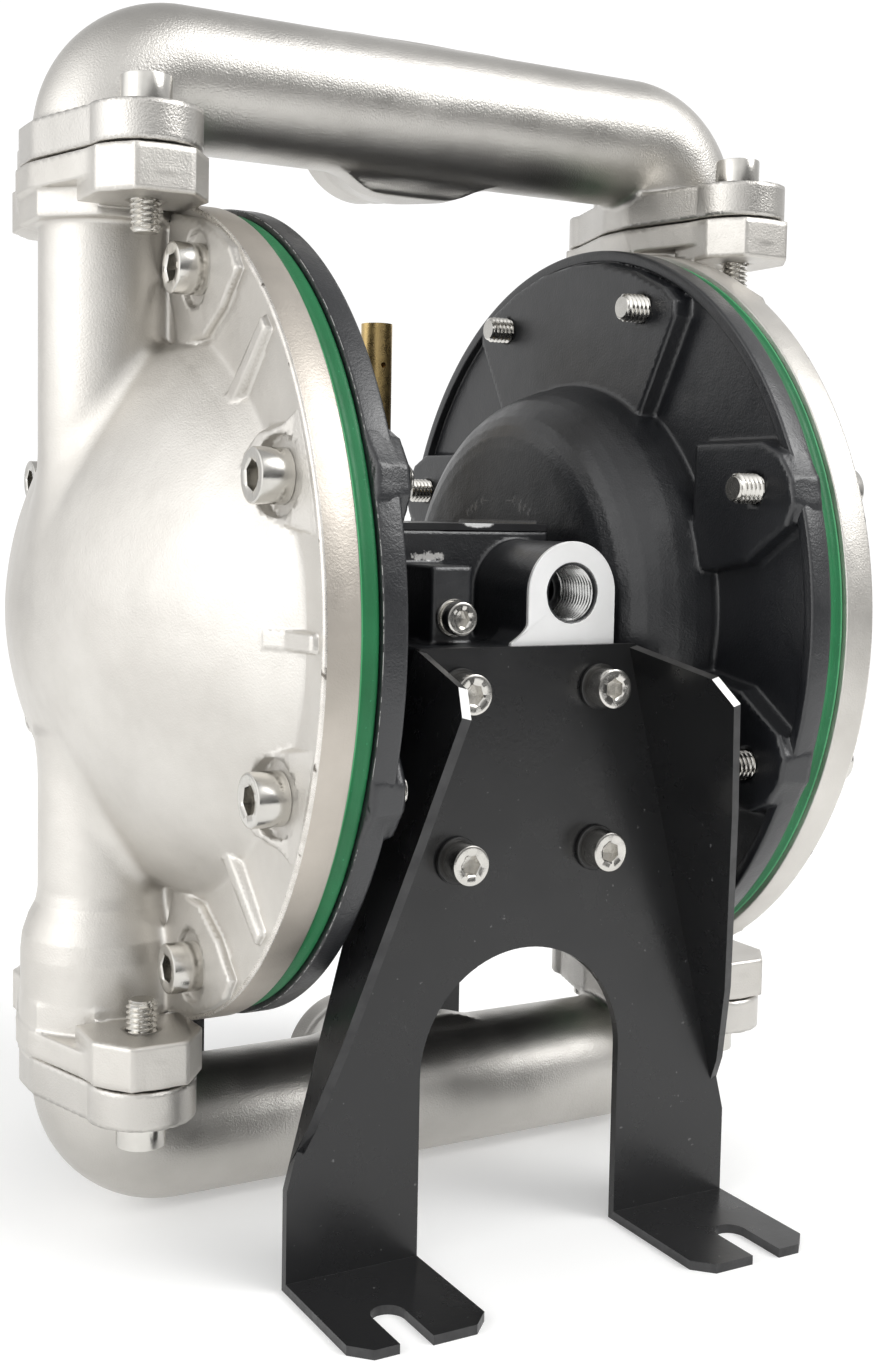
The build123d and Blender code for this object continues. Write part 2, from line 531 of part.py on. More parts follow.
# ---------------------------------------------------------------- brackets
def bracket():
    """Front bracket: plate outside face at y = Y_FRONT_FACE - T_SHEET, wings and feet folded forward."""
    t = T_SHEET
    yo = Y_FRONT_FACE - t
    outline = Polyline((-BRACKET_TOP_X, BRACKET_TOP_Z), (BRACKET_TOP_X, BRACKET_TOP_Z), (82.4, BRACKET_BEND_Z), (BRACKET_LEG_X, -172.0),
                       (BRACKET_LEG_X, Z_GROUND + t), (-BRACKET_LEG_X, Z_GROUND + t), (-BRACKET_LEG_X, -172.0), (-82.4, BRACKET_BEND_Z), close=True)
    plate = Pos(0, Y_FRONT_FACE, 0) * extrude(Plane.XZ * make_face(outline), t)
    plate -= cyly(ARCH_R, yo - 1, Y_FRONT_FACE + 1, 0, ARCH_Z)
    plate -= box(-ARCH_R, ARCH_R, yo - 1, Y_FRONT_FACE + 1, Z_GROUND - 5, ARCH_Z)
    for x in (-26.5, 26.5):
        for z in (-20.3, -74.0):
            plate -= cyly(4.5, yo - 1, Y_FRONT_FACE + 1, x, z)
    # feet
    for sx in (-1, 1):
        x0, x1 = sx * ARCH_R, sx * BRACKET_LEG_X
        f = box(min(x0, x1), max(x0, x1), yo - FOOT_LEN, Y_FRONT_FACE, Z_GROUND, Z_GROUND + t)
        f = chamfer(f.edges().filter_by(Axis.Z).group_by(Axis.Y)[0], 6.0)
        sxc = sx * SLOT_X
        f -= cylz(SLOT_W / 2, Z_GROUND - 1, Z_GROUND + t + 1, sxc, yo - FOOT_LEN + SLOT_DEPTH - SLOT_W / 2)
        f -= box(sxc - SLOT_W / 2, sxc + SLOT_W / 2, yo - FOOT_LEN - 1, yo - FOOT_LEN + SLOT_DEPTH - SLOT_W / 2, Z_GROUND - 1, Z_GROUND + t + 1)
        plate += f
    # wings: drawn in the bend line's own plane, then turned to it
    dx, dz = 82.4 - BRACKET_TOP_X, BRACKET_BEND_Z - BRACKET_TOP_Z
    length = hypot(dx, dz)
    ux, uz = dx / length, dz / length
    n = Vector(-uz, 0, ux)          # outward, in the plate's plane (right-hand wing)
    sp = radians(WING_SPLAY)
    w = Vector(0, -1, 0) * cos(sp) + n * sin(sp)
    u = Vector(ux, 0, uz)
    pl = Plane(origin=(BRACKET_TOP_X, yo + t, BRACKET_TOP_Z), x_dir=u, z_dir=u.cross(w))
    # s runs down the bend line, d is the depth away from the plate
    wing_pts = [(0.0, 0.0), (9.4, 38.6), (17.9, 46.2), (38.0, 41.0), (56.0, 36.6), (85.0, 28.5), (121.0, 18.3), (150.0, 7.6), (163.5, 0.0)]
    sgn = 1.0 if pl.y_dir.dot(w) > 0 else -1.0
    face = pl * make_face(Polyline(*[(a, sgn * b) for a, b in wing_pts], close=True))
    inward = -(Vector(0, -1, 0) * -sin(sp) + n * cos(sp))
    wing = extrude(face, t, dir=inward)
    plate += wing
    plate += mirx(wing)
    return plate


front = bracket()
put("front_bracket", front)
rear = Rot(0, 0, 180) * (Pos(0, -Y_FRONT_FACE - Y_REAR_FACE, 0) * front)
put("rear_bracket", rear)

for nm, sy, yf in (("front", 1, Y_FRONT_FACE), ("rear", -1, Y_REAR_FACE)):
    scr, wsh = [], []
    for x in (-26.5, 26.5):
        for z in (-20.3, -74.0):
            y1 = yf - sy * T_SHEET
            wsh.append(cyly(8.0, y1, y1 - sy * 1.6, x, z) - cyly(4.3, y1 + 2, y1 - 4 * sy, x, z) if sy > 0 else
                       cyly(8.0, y1, y1 + 1.6, x, z) - cyly(4.3, y1 - 2, y1 + 4, x, z))
            scr.append(Pos(x, y1 - sy * 1.6, z) * (Rot(90 * sy, 0, 0) * socket_screw(8.0, 20.0, 13.0, 8.0, 6.0)))
    put(nm + "_bracket_screws", scr, False)
    put(nm + "_bracket_washers", wsh, False)

for name, shape in NODES.items():
    shape.label = name
    export_step(shape, "parts/" + name + ".step")
print(len(NODES), "nodes")
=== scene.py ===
import bpy, bmesh, json
import numpy as np
from math import sin, cos, tan, pi, radians, degrees, sqrt, atan2, hypot, ceil
from mathutils import Vector, Matrix

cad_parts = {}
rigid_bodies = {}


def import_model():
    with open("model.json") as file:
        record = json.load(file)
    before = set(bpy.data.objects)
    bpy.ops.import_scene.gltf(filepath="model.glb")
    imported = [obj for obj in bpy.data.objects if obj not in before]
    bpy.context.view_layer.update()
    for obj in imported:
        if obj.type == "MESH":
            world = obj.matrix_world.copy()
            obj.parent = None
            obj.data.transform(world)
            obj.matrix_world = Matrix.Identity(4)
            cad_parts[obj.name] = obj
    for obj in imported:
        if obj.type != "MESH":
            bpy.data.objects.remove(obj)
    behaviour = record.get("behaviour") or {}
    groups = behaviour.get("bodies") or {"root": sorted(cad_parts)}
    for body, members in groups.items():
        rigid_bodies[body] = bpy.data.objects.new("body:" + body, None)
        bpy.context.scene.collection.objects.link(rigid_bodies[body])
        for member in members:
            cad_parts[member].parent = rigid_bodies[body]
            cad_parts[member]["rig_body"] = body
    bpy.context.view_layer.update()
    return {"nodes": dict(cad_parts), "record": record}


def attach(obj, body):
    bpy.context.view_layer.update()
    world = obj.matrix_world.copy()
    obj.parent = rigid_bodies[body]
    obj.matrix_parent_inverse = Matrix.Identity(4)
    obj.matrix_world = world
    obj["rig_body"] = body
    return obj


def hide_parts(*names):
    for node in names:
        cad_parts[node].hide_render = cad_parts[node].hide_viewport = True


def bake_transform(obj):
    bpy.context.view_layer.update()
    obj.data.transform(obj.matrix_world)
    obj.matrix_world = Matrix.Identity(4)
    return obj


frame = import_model()
NODES = frame["nodes"]

# All shapes below are drawn in millimetres about the rod's axis: X along the
# rod, -Y the front, +Z up.  These two shifts take them to the shared frame.
Y_SHIFT, Z_SHIFT = -7.4, 204.0


def to_world(v):
    v = np.asarray(v, dtype=np.float64)
    return (v + np.array([0.0, Y_SHIFT, Z_SHIFT])) * 0.001


# ------------------------------------------------------------------ camera
def make_camera():
    a, t, r = radians(61.639), radians(-4.363), radians(0.969)
    F = Vector((cos(a) * cos(t), sin(a) * cos(t), sin(t)))
    R0 = Vector((sin(a), -cos(a), 0.0))
    U0 = R0.cross(F)
    R = R0 * cos(r) + U0 * sin(r)
    U = -R0 * sin(r) + U0 * cos(r)
    cam = bpy.data.cameras.new("camera")
    obj = bpy.data.objects.new("camera", cam)
    bpy.context.scene.collection.objects.link(obj)
    m = Matrix((R, U, -F)).transposed().to_4x4()
    m.translation = Vector(to_world((-291.938, -536.78, 36.037)))
    obj.matrix_world = m
    cam.sensor_width = 36.0
    cam.sensor_fit = 'AUTO'
    cam.lens = 1673.367 * 36.0 / 1364.0
    cam.shift_x = (438.5 - 400.753) / 1364.0
    cam.shift_y = (639.083 - 682.0) / 1364.0
    cam.clip_start = 0.02
    cam.clip_end = 50.0
    bpy.context.scene.camera = obj
    return obj


CAM = make_camera()


# ------------------------------------------------------------------ distance fields
def smin(a, b, k):
    if k <= 0:
        return np.minimum(a, b)
    h = np.clip(0.5 + 0.5 * (b - a) / k, 0.0, 1.0)
    return b * (1.0 - h) + a * h - k * h * (1.0 - h)


def smax(a, b, k):
    return -smin(-a, -b, k)


def hypot2(a, b):
    return np.sqrt(a * a + b * b)


class Profile:
    """Signed distance to a closed 2-D outline, stored on a fine grid."""

    def __init__(self, pts, margin=24.0, step=0.4):
        p = np.asarray(pts, dtype=np.float64)
        self.lo = p.min(0) - margin
        self.step = step
        n = np.ceil((p.max(0) + margin - self.lo) / step).astype(int) + 1
        u = self.lo[0] + step * np.arange(n[0])
        v = self.lo[1] + step * np.arange(n[1])
        U, V = np.meshgrid(u, v, indexing='ij')
        d = np.full(U.shape, 1e9)
        inside = np.zeros(U.shape, dtype=bool)
        for i in range(len(p)):
            a, b = p[i], p[(i + 1) % len(p)]
            e = b - a
            L = max(e @ e, 1e-12)
            t = np.clip(((U - a[0]) * e[0] + (V - a[1]) * e[1]) / L, 0, 1)
            dd = (U - a[0] - t * e[0]) ** 2 + (V - a[1] - t * e[1]) ** 2
            d = np.minimum(d, dd)
            if abs(e[1]) > 1e-12:
                cross = ((a[1] > V) != (b[1] > V)) & (U < e[0] * (V - a[1]) / e[1] + a[0])
                inside ^= cross
        d = np.sqrt(d)
        self.g = np.where(inside, -d, d).astype(np.float32)
        self.n = n

    def __call__(self, u, v):
        fu = (u - self.lo[0]) / self.step
        fv = (v - self.lo[1]) / self.step
        cu = np.clip(fu, 0, self.n[0] - 1.001)
        cv = np.clip(fv, 0, self.n[1] - 1.001)
        out = hypot2(fu - cu, fv - cv) * self.step
        i = cu.astype(np.int32)
        j = cv.astype(np.int32)
        a = cu - i
        b = cv - j
        g = self.g
        val = (g[i, j] * (1 - a) + g[i + 1, j] * a) * (1 - b) + (g[i, j + 1] * (1 - a) + g[i + 1, j + 1] * a) * b
        return val + out


def slab(v, lo, hi):
    return np.maximum(lo - v, v - hi)


def extr(d2, v, lo, hi, rnd=0.0):
    """Outline distance d2 extruded between lo and hi, with edges rounded by rnd."""
    w = slab(v, lo, hi) + rnd
    d = d2 + rnd
    return np.minimum(np.maximum(d, w), 0.0) + hypot2(np.maximum(d, 0.0), np.maximum(w, 0.0)) - rnd


def rbox(x, y, z, lo, hi, rnd=0.0):
    cx, cy, cz = [(a + b) / 2 for a, b in zip(lo, hi)]
    hx, hy, hz = [(b - a) / 2 - rnd for a, b in zip(lo, hi)]
    qx, qy, qz = np.abs(x - cx) - hx, np.abs(y - cy) - hy, np.abs(z - cz) - hz
    out = np.sqrt(np.maximum(qx, 0) ** 2 + np.maximum(qy, 0) ** 2 + np.maximum(qz, 0) ** 2)
    return out + np.minimum(np.maximum(qx, np.maximum(qy, qz)), 0.0) - rnd


def rcyl(dr, v, r, lo, hi, rnd=0.0):
    """Cylinder: dr is the distance from its axis, v the place along it."""
    return extr(dr - r, v, lo, hi, rnd)


def field(fn, lo, hi, h, B=6):
    lo = np.asarray(lo, float)
    n = np.ceil((np.asarray(hi, float) - lo) / h).astype(int) + 1
    nb = -(-n // B)
    n = nb * B
    c = [lo[i] + h * (B * np.arange(nb[i]) + (B - 1) / 2) for i in range(3)]
    X, Y, Z = np.meshgrid(*c, indexing='ij')
    d = fn(X.ravel(), Y.ravel(), Z.ravel()).reshape(X.shape)
    reach = 0.5 * sqrt(3) * B * h * 1.25 + 1.0
    act = np.abs(d) < reach
    F = np.repeat(np.repeat(np.repeat(np.where(d < 0, -9.0, 9.0), B, 0), B, 1), B, 2).astype(np.float32)
    bi, bj, bk = np.nonzero(act)
    o = np.arange(B)
    oi, oj, ok = [q.ravel() for q in np.meshgrid(o, o, o, indexing='ij')]
    step = 2500
    for s in range(0, len(bi), step):
        I = (bi[s:s + step, None] * B + oi).ravel()
        J = (bj[s:s + step, None] * B + oj).ravel()
        K = (bk[s:s + step, None] * B + ok).ravel()
        F[I, J, K] = fn(lo[0] + h * I, lo[1] + h * J, lo[2] + h * K)
    return F, lo


def surface_nets(F, lo, h, fn):
    """Net of quads; each vertex sits where the planes through its cell's crossings meet."""
    S = F < 0
    c = np.zeros(tuple(q - 1 for q in F.shape), dtype=np.int8)
    for a in (0, 1):
        for b in (0, 1):
            for g in (0, 1):
                c += S[a:F.shape[0] - 1 + a, b:F.shape[1] - 1 + b, g:F.shape[2] - 1 + g]
    active = (c > 0) & (c < 8)
    idx = np.full(active.shape, -1, dtype=np.int64)
    I, J, K = np.nonzero(active)
    n = len(I)
    idx[I, J, K] = np.arange(n)
    quads, cells, pts = [], [], []
    for ax in range(3):
        b1, b2 = (ax + 1) % 3, (ax + 2) % 3
        sl1 = [slice(None)] * 3
        sl2 = [slice(None)] * 3
        sl1[ax] = slice(0, -1)
        sl2[ax] = slice(1, None)
        diff = S[tuple(sl1)] != S[tuple(sl2)]
        e = np.stack(np.nonzero(diff), 1)
        e = e[(e[:, b1] > 0) & (e[:, b2] > 0) & (e[:, b1] < F.shape[b1] - 1) & (e[:, b2] < F.shape[b2] - 1)]
        inside_first = S[e[:, 0], e[:, 1], e[:, 2]]

        def cell(d1, d2):
            q = e.copy()
            q[:, b1] += d1
            q[:, b2] += d2
            return idx[q[:, 0], q[:, 1], q[:, 2]]
        quad = np.stack([cell(-1, -1), cell(0, -1), cell(0, 0), cell(-1, 0)], 1)
        cells.append(quad.copy())
        e2 = e.copy()
        e2[:, ax] += 1
        f1 = F[e[:, 0], e[:, 1], e[:, 2]].astype(np.float64)
        f2 = F[e2[:, 0], e2[:, 1], e2[:, 2]].astype(np.float64)
        p = e.astype(np.float64)
        p[:, ax] += np.clip(f1 / np.where(f1 == f2, 1.0, f1 - f2), 0.0, 1.0)
        pts.append(p * h + lo)
        quad[~inside_first] = quad[~inside_first][:, ::-1]
        quads.append(quad)
    Q = np.concatenate(quads)
    assert (Q >= 0).all()
    cells = np.concatenate(cells)
    p = np.concatenate(pts)
    f = fn(p[:, 0], p[:, 1], p[:, 2])
    G = gradient(fn, p)
    L = np.maximum(np.linalg.norm(G, axis=1, keepdims=True), 0.2)
    N = G / L
    p = p - N * np.clip(f[:, None] / L, -0.5 * h, 0.5 * h)
    who = cells.ravel()
    def total(v):
        return np.bincount(who, weights=np.repeat(v, 4), minlength=n)
    cnt = np.maximum(total(np.ones(len(p))), 1)
    C = np.stack([total(p[:, i]) for i in range(3)], 1) / cnt[:, None]
    off = (N * p).sum(1)
    A = np.zeros((n, 3, 3))
    B = np.zeros((n, 3))
    for i in range(3):
        B[:, i] = total(N[:, i] * off)
        for j in range(i, 3):
            A[:, i, j] = A[:, j, i] = total(N[:, i] * N[:, j])
    B -= np.einsum('nij,nj->ni', A, C)
    mean = np.linalg.norm(np.stack([total(N[:, i]) for i in range(3)], 1), axis=1) / cnt
    A[:, [0, 1, 2], [0, 1, 2]] += 0.04 * cnt[:, None]
    D = np.linalg.solve(A, B[:, :, None])[:, :, 0]
    L = np.linalg.norm(D, axis=1, keepdims=True)
    D *= np.minimum(1.0, 0.8 * h / np.maximum(L, 1e-9))
    return C + D, Q, mean


def gradient(fn, P, e=0.12):
    G = np.empty_like(P)
    for i in range(3):
        A = P.copy(); A[:, i] += e
        B = P.copy(); B[:, i] -= e
        G[:, i] = fn(A[:, 0], A[:, 1], A[:, 2]) - fn(B[:, 0], B[:, 1], B[:, 2])
    return G / (2 * e)


def project(fn, P, h, rounds=3):
    P0 = P.copy()
    for _ in range(rounds):
        f = fn(P[:, 0], P[:, 1], P[:, 2])
        G = gradient(fn, P)
        g2 = np.maximum((G * G).sum(1), 0.05)
        step = -(f / g2)[:, None] * G
        L = np.linalg.norm(step, axis=1, keepdims=True)
        step *= np.minimum(1.0, 0.5 * h / np.maximum(L, 1e-9))
        P = P + step
        D = P - P0
        L = np.linalg.norm(D, axis=1, keepdims=True)
        P = P0 + D * np.minimum(1.0, 0.9 * h / np.maximum(L, 1e-9))
    return P


def mesh_from(name, P, Q, flip=False):
    V = to_world(P)
    me = bpy.data.meshes.new(name)
    if flip:
        Q = Q[:, ::-1]
    me.vertices.add(len(V))
    me.vertices.foreach_set("co", V.astype(np.float32).ravel())
    me.loops.add(Q.size)
    me.loops.foreach_set("vertex_index", Q.astype(np.int32).ravel())
    me.polygons.add(len(Q))
    me.polygons.foreach_set("loop_start", np.arange(0, Q.size, Q.shape[1], dtype=np.int32))
    me.polygons.foreach_set("loop_total", np.full(len(Q), Q.shape[1], dtype=np.int32))
    me.update(calc_edges=True)
    me.validate()
    me.polygons.foreach_set("use_smooth", np.ones(len(me.polygons), dtype=bool))
    return me


def new_object(name, me, mat):
    ob = bpy.data.objects.new(name, me)
    bpy.context.scene.collection.objects.link(ob)
    mats = mat if isinstance(mat, (list, tuple)) else [mat]
    me.materials.clear()
    for m in mats:
        me.materials.append(m)
    return ob


def cast_piece(fn, lo, hi, h):
    import time
    t0 = time.time()
    F, lo = field(fn, lo, hi, h)
    P, Q, mean = surface_nets(F, lo, h, fn)
    flat = mean > 0.985
    P[flat] = project(fn, P[flat], h, 1)
    print("cast piece", len(Q), "faces", round(time.time() - t0, 1), "s")
    return P, Q


# ------------------------------------------------------------------ sizes
R_BOLT = 118.46
ANG = [22.5 + 45 * i for i in range(8)]
BOLTS = [(R_BOLT * cos(radians(a)), R_BOLT * sin(radians(a))) for a in ANG]
X_R = 114.84
Z_J = 144.3
Y_L = 39.4
HQ = 1.6
H_FINE = 1.3

# ------------------------------------------------------------------ fluid cover
_kn = np.array([0, 0.15, 0.3, 0.45, 0.6, 0.75, 0.85, 0.93, 1.0, 1.12, 1.6])
_kv = np.array([143.2, 142.1, 138.4, 132.9, 125.6, 116.6, 109.2, 103.6, 99.4, 93.0, 60.0])
_fine = np.linspace(0, 1.6, 321)


def _smooth_profile():
    v = np.interp(_fine, _kn, _kv)
    k = np.hanning(41)
    k /= k.sum()
    vv = np.concatenate([v[20:0:-1], v, np.full(20, v[-1])])
    s = np.convolve(vv, k, 'valid')
    # keep the foot crisp
    w = np.clip((_fine - 0.86) / 0.1, 0, 1)
    return s * (1 - w) + v * w


_fv = _smooth_profile()
DOME_Y, DOME_Z = 121.0, 99.0

PAD_TOP = Profile([(-31, 86.5), (-52.0, 88.3), (-66.5, 95.8), (-78.0, 106.0), (-72.5, 113.0), (-60.0, 119.5), (-46, 125.0), (-24, 129.5), (-20, 110)], margin=40)
PAD_MID = Profile([(87.5, 35.5), (93.0, 32.4), (107.0, 31.9), (137.0, 29.8), (137.0, 74.0), (117.0, 63.0), (110.0, 59.4), (99.0, 58.8), (91.0, 53.5), (86.5, 44.0)], margin=40)
FLANGE = Profile([(0, 39.4), (10.2, 5), (10.2, -5), (0, -39.4), (-10.2, -5), (-10.2, 5)], margin=60)
LOBE = Profile([(-17.8, 26.5), (17.8, 26.5), (18.2, 45.5), (9.5, 57.0), (-9.5, 57.0), (-18.2, 45.5)], margin=60)
_c8 = 25.6 / cos(radians(22.5))
OCT = Profile([(_c8 * cos(radians(22.5 + 45 * i)), _c8 * sin(radians(22.5 + 45 * i))) for i in range(8)], margin=40)
CAVITY = Profile([(60, -1), (60, 112), (84, 112), (89.5, 104), (93.5, 95), (98.0, 87.5), (102.6, 80.0), (108.8, 72.0), (114.8, 63.5), (120.4, 54.0),
                  (127.8, 37.0), (132.2, 25.0), (134.9, 13.0), (135.5, -1)], margin=40)
RISER_LOW = Profile([(0, -150), (27.0, -150), (27.2, -112), (26.6, -106), (24.6, -100.0), (22.3, -95.5), (21.5, -91), (21.5, -40), (0, -40)], margin=40, step=0.4)
COLLAR_UP = 26.0


def cover_fn(x, y, z):
    r = hypot2(y, z)
    az = np.abs(z)
    ay = np.abs(y)
    # clamped flange
    d = extr(r - 134.5, x, 87.2, 98.1, 0.5)
    # dome
    rho = hypot2(y / DOME_Y, z / DOME_Z)
    diag = (2.0 * y * z / np.maximum(y * y + z * z, 1.0)) ** 2
    rho = rho + 0.087 * diag * np.clip((rho - 0.76) / 0.24, 0, 1.35) ** 2
    f = np.interp(rho, _fine, _fv)
    dome = np.maximum((x - f) * 0.80, 87.5 - x)
    cut = (az - 88.6 + (x - 98.0) * 0.22) * 0.976
    dome = smax(dome, cut, 3.0)
    dome = np.maximum(dome, r - 131.5)
    d = smin(d, dome, 0.7)
    # pads round the top and bottom screws
    pt = PAD_TOP(-ay, az)
    d = smin(d, extr(pt, x, 90.0, 101.0, 0.7), 0.8)
    # pads round the side screws, open towards the rim
    pm = PAD_MID(ay, az) - 1.2 + 0.6 * (x - 98.1)
    top = x - np.maximum(102.5 - 0.19 * (ay - 103.0), 100.3) + 0.19 * np.clip(r - 122.0, 0, 12.0)
    d = smin(d, smax(smax(smax(pm, top, 0.7), r - 133.0, 0.8), 90.0 - x, 0), 0.6)
    # gusset ribs
    for deg in (0.0, 42.5):
        c, s = cos(radians(deg)), sin(radians(deg))
        uu = ay * c + az * s
        vv = -ay * s + az * c
        if deg == 0.0:
            topx = 100.3 + 0.12 * np.clip(131.6 - uu, 0, 45.0) + 0.42 * np.clip(117.0 - uu, 0, 20.0)
            rib = smax(np.abs(vv) - 2.5 - 0.22 * (topx - x), (x - topx) * 0.93, 0.9)
            rib = smax(rib, slab(uu, 109.6, 131.6), 1.6)
        else:
            topx = 100.6 + 0.03 * np.clip(131.6 - uu, 0, 45.0)
            rib = smax(np.abs(vv) - 2.2 - 0.5 * (topx - x), (x - topx) * 0.93, 0.8)
            rib = smax(rib, slab(uu, 98.0, 131.6), 0.8)
        rib = np.maximum(rib, 90.0 - x)
        d = smin(d, rib, 0.7)
    # risers
    dr = hypot2(x - X_R, y)
    up = extr(dr - 21.5, z, 20.0, Z_J - 4.0, 0)
    d = smin(d, up, 6.0)
    low = RISER_LOW(dr, z)
    d = smin(d, low, 6.0)
    # collars, flanges
    rot = 1.0
    oc = OCT(x - X_R, y)
    d = smin(d, extr(oc, az, 126.5, 138.0, 0.9), 2.0)
    fl = FLANGE(x - X_R, y) - 17.4
    web = extr(fl, az, 135.4, Z_J - 0.45, 0.8)
    d = smin(d, web, 1.6)
    lob = LOBE(x - X_R, ay)
    d = smin(d, extr(lob, az, 129.7, Z_J - 0.45, 0.9), 1.0)
    # screw seats
    for (by, bz) in ((ANG[0], 1), (ANG[1], 1)):
        yy, zz = R_BOLT * cos(radians(by)), R_BOLT * sin(radians(by))
        rb = hypot2(ay - yy, az - zz)
        d = smax(d, -rcyl(rb, x, 11.7, 99.0, 130.0), 0.4)
        d = np.maximum(d, -rcyl(rb, x, 5.4, 80.0, 100.0))
    # wet side
    d = np.maximum(d, -CAVITY(x, r))
    d = np.maximum(d, -extr(dr - 15.9, z, -150.0, 150.0))
    d = np.maximum(d, -extr(dr - 22.6, z, Z_J - 8.0, 150.0))
    d = np.maximum(d, -extr(dr - 22.0, z, -150.0, -104.0))
    # flange screw holes
    d = np.maximum(d, -rcyl(hypot2(x - X_R, ay - Y_L), az, 5.35, 120.0, 150.0))
    return d


# ------------------------------------------------------------------ manifolds
def manifold_fn(zt, low=False):
    zb = zt - 23.8
    xb = X_R - 23.8

    def run(x, y, z, r):
        ax = np.abs(x)
        straight = np.where(ax < xb, hypot2(y, z - zt), 1e9)
        q = hypot2(ax - xb, z - zb) - 23.8
        bend = np.where((ax >= xb) & (z >= zb), hypot2(q, y), 1e9)
        leg = np.where(z < zb, hypot2(ax - X_R, y), 1e9)
        return np.minimum(np.minimum(straight, bend), leg) - r

    def fn(x, y, z):
        ax = np.abs(x)
        ay = np.abs(y)
        d = np.maximum(run(x, y, z, 23.45), Z_J + 0.5 - z)
        fl = FLANGE(ax - X_R, y) - 16.4
        lob = hypot2(ax - X_R, ay - Y_L) - 17.5
        fl = np.minimum(fl, lob)
        d = smin(d, extr(fl, z, Z_J + 0.5, 157.1, 0.9), 3.2)
        # port boss at the back, with a flared fairing to the tube
        rp = hypot2(x, z - zt)
        boss = extr(rp - 24.6, y, 0.0, 47.0, 0.9)
        fair = (rp - (24.6 + np.clip((30.0 - y) * 0.42, 0, 9.0))) * 0.9
        fair = np.maximum(fair, slab(y, 0.0, 32.0))
        fair = smax(fair, slab(z - zt, -23.9 if low else -29.0, 22.6), 3.0)
        d = smin(d, boss, 5.0)
        d = smin(d, fair, 7.0)
        d = smax(d, z - (zt + (24.7 if low else 24.5)), 1.2)
        d = np.maximum(d, -run(x, y, z, 18.8))
        d = np.maximum(d, -extr(rp - 19.6, y, 25.0, 60.0))
        d = np.maximum(d, -extr(rp - 18.0, y, 0.0, 60.0))
        d = np.maximum(d, -rcyl(hypot2(ax - X_R, ay - Y_L), z, 5.35, 120.0, 170.0))
        return d
    return fn


# ------------------------------------------------------------------ air cover
AIR_DOME = Profile([(78.0, -1), (78.0, 84.8), (72.0, 84.9), (67.0, 84.2), (61.0, 82.9), (55.0, 80.8), (50.0, 78.4), (46.0, 75.4), (43.0, 72.3), (40.6, 68.6), (39.1, 64.6),
                    (38.5, 60.0), (38.0, 46.0), (38.0, -1)], margin=50)
AIR_CAV = Profile([(90, -1), (90, 80.4), (70.0, 80.4), (61.5, 78.9), (56.0, 76.9), (51.5, 74.5), (48.2, 71.6), (45.6, 68.0), (43.6, 63.6), (42.6, 58.5), (42.2, 46.0), (42.2, -1)], margin=50)
PETAL = Profile([(78.0, 60.6), (111.5, 60.6), (121.0, 56.5), (127.0, 48.5), (128.3, 41.0), (124.5, 33.5), (105.5, 21.2), (78.0, 17.2)], margin=40)
PAD = Profile([(0.0, 72.0), (45.5, 72.5), (64.6, 105.5), (64.4, 110.5), (58.2, 115.6), (39.6, 123.4), (20.0, 128.4), (0.0, 129.9), (-5, 129.9), (-5, 72)], margin=40)


def air_fn(x, y, z):
    r = hypot2(y, z)
    ay, az = np.abs(y), np.abs(z)
    d = extr(r - 134.6, x, 75.6, 80.1, 0.3)
    lip = np.maximum(extr(r - 134.6, x, 72.6, 80.0, 0.6), 130.9 - r)
    d = smin(d, lip, 1.2)
    dome = AIR_DOME(x, r) - 0.0
    d = smin(d, dome, 1.6)
    d = smin(d, np.maximum(extr(r - 42.0, x, 30.0, 40.0, 0.2), z - 32.0), 1.2)
    pet = PETAL(ay, az) - 0.12 * (x - 68.5)
    d = smin(d, extr(pet, x, 68.5, 79.8, 1.3), 1.6)
    pad = PAD(ay, az) - 0.12 * (x - 68.5)
    d = smin(d, extr(pad, x, 68.5, 79.8, 1.3), 1.6)
    d = np.maximum(d, -AIR_CAV(x, r))
    d = np.maximum(d, -np.maximum(rcyl(r, x, 39.2, 36.5, 43.0), z - 29.6))
    d = np.maximum(d, -rcyl(r, x, 14.0, 20.0, 38.0))
    for a in (22.5, 67.5):
        yy, zz = R_BOLT * cos(radians(a)), R_BOLT * sin(radians(a))
        d = np.maximum(d, -rcyl(hypot2(ay - yy, az - zz), x, 5.25, 60.0, 90.0))
    k = 32.0 * sqrt(0.5)
    d = np.maximum(d, -rcyl(hypot2(ay - k, az - k), x, 4.5, 20.0, 38.0))
    d = np.maximum(d, -rcyl(hypot2(y, z + 28.0), x, 4.4, 20.0, 38.0))
    return d


# ------------------------------------------------------------------ centre body
YF, YR = -81.7, 99.0


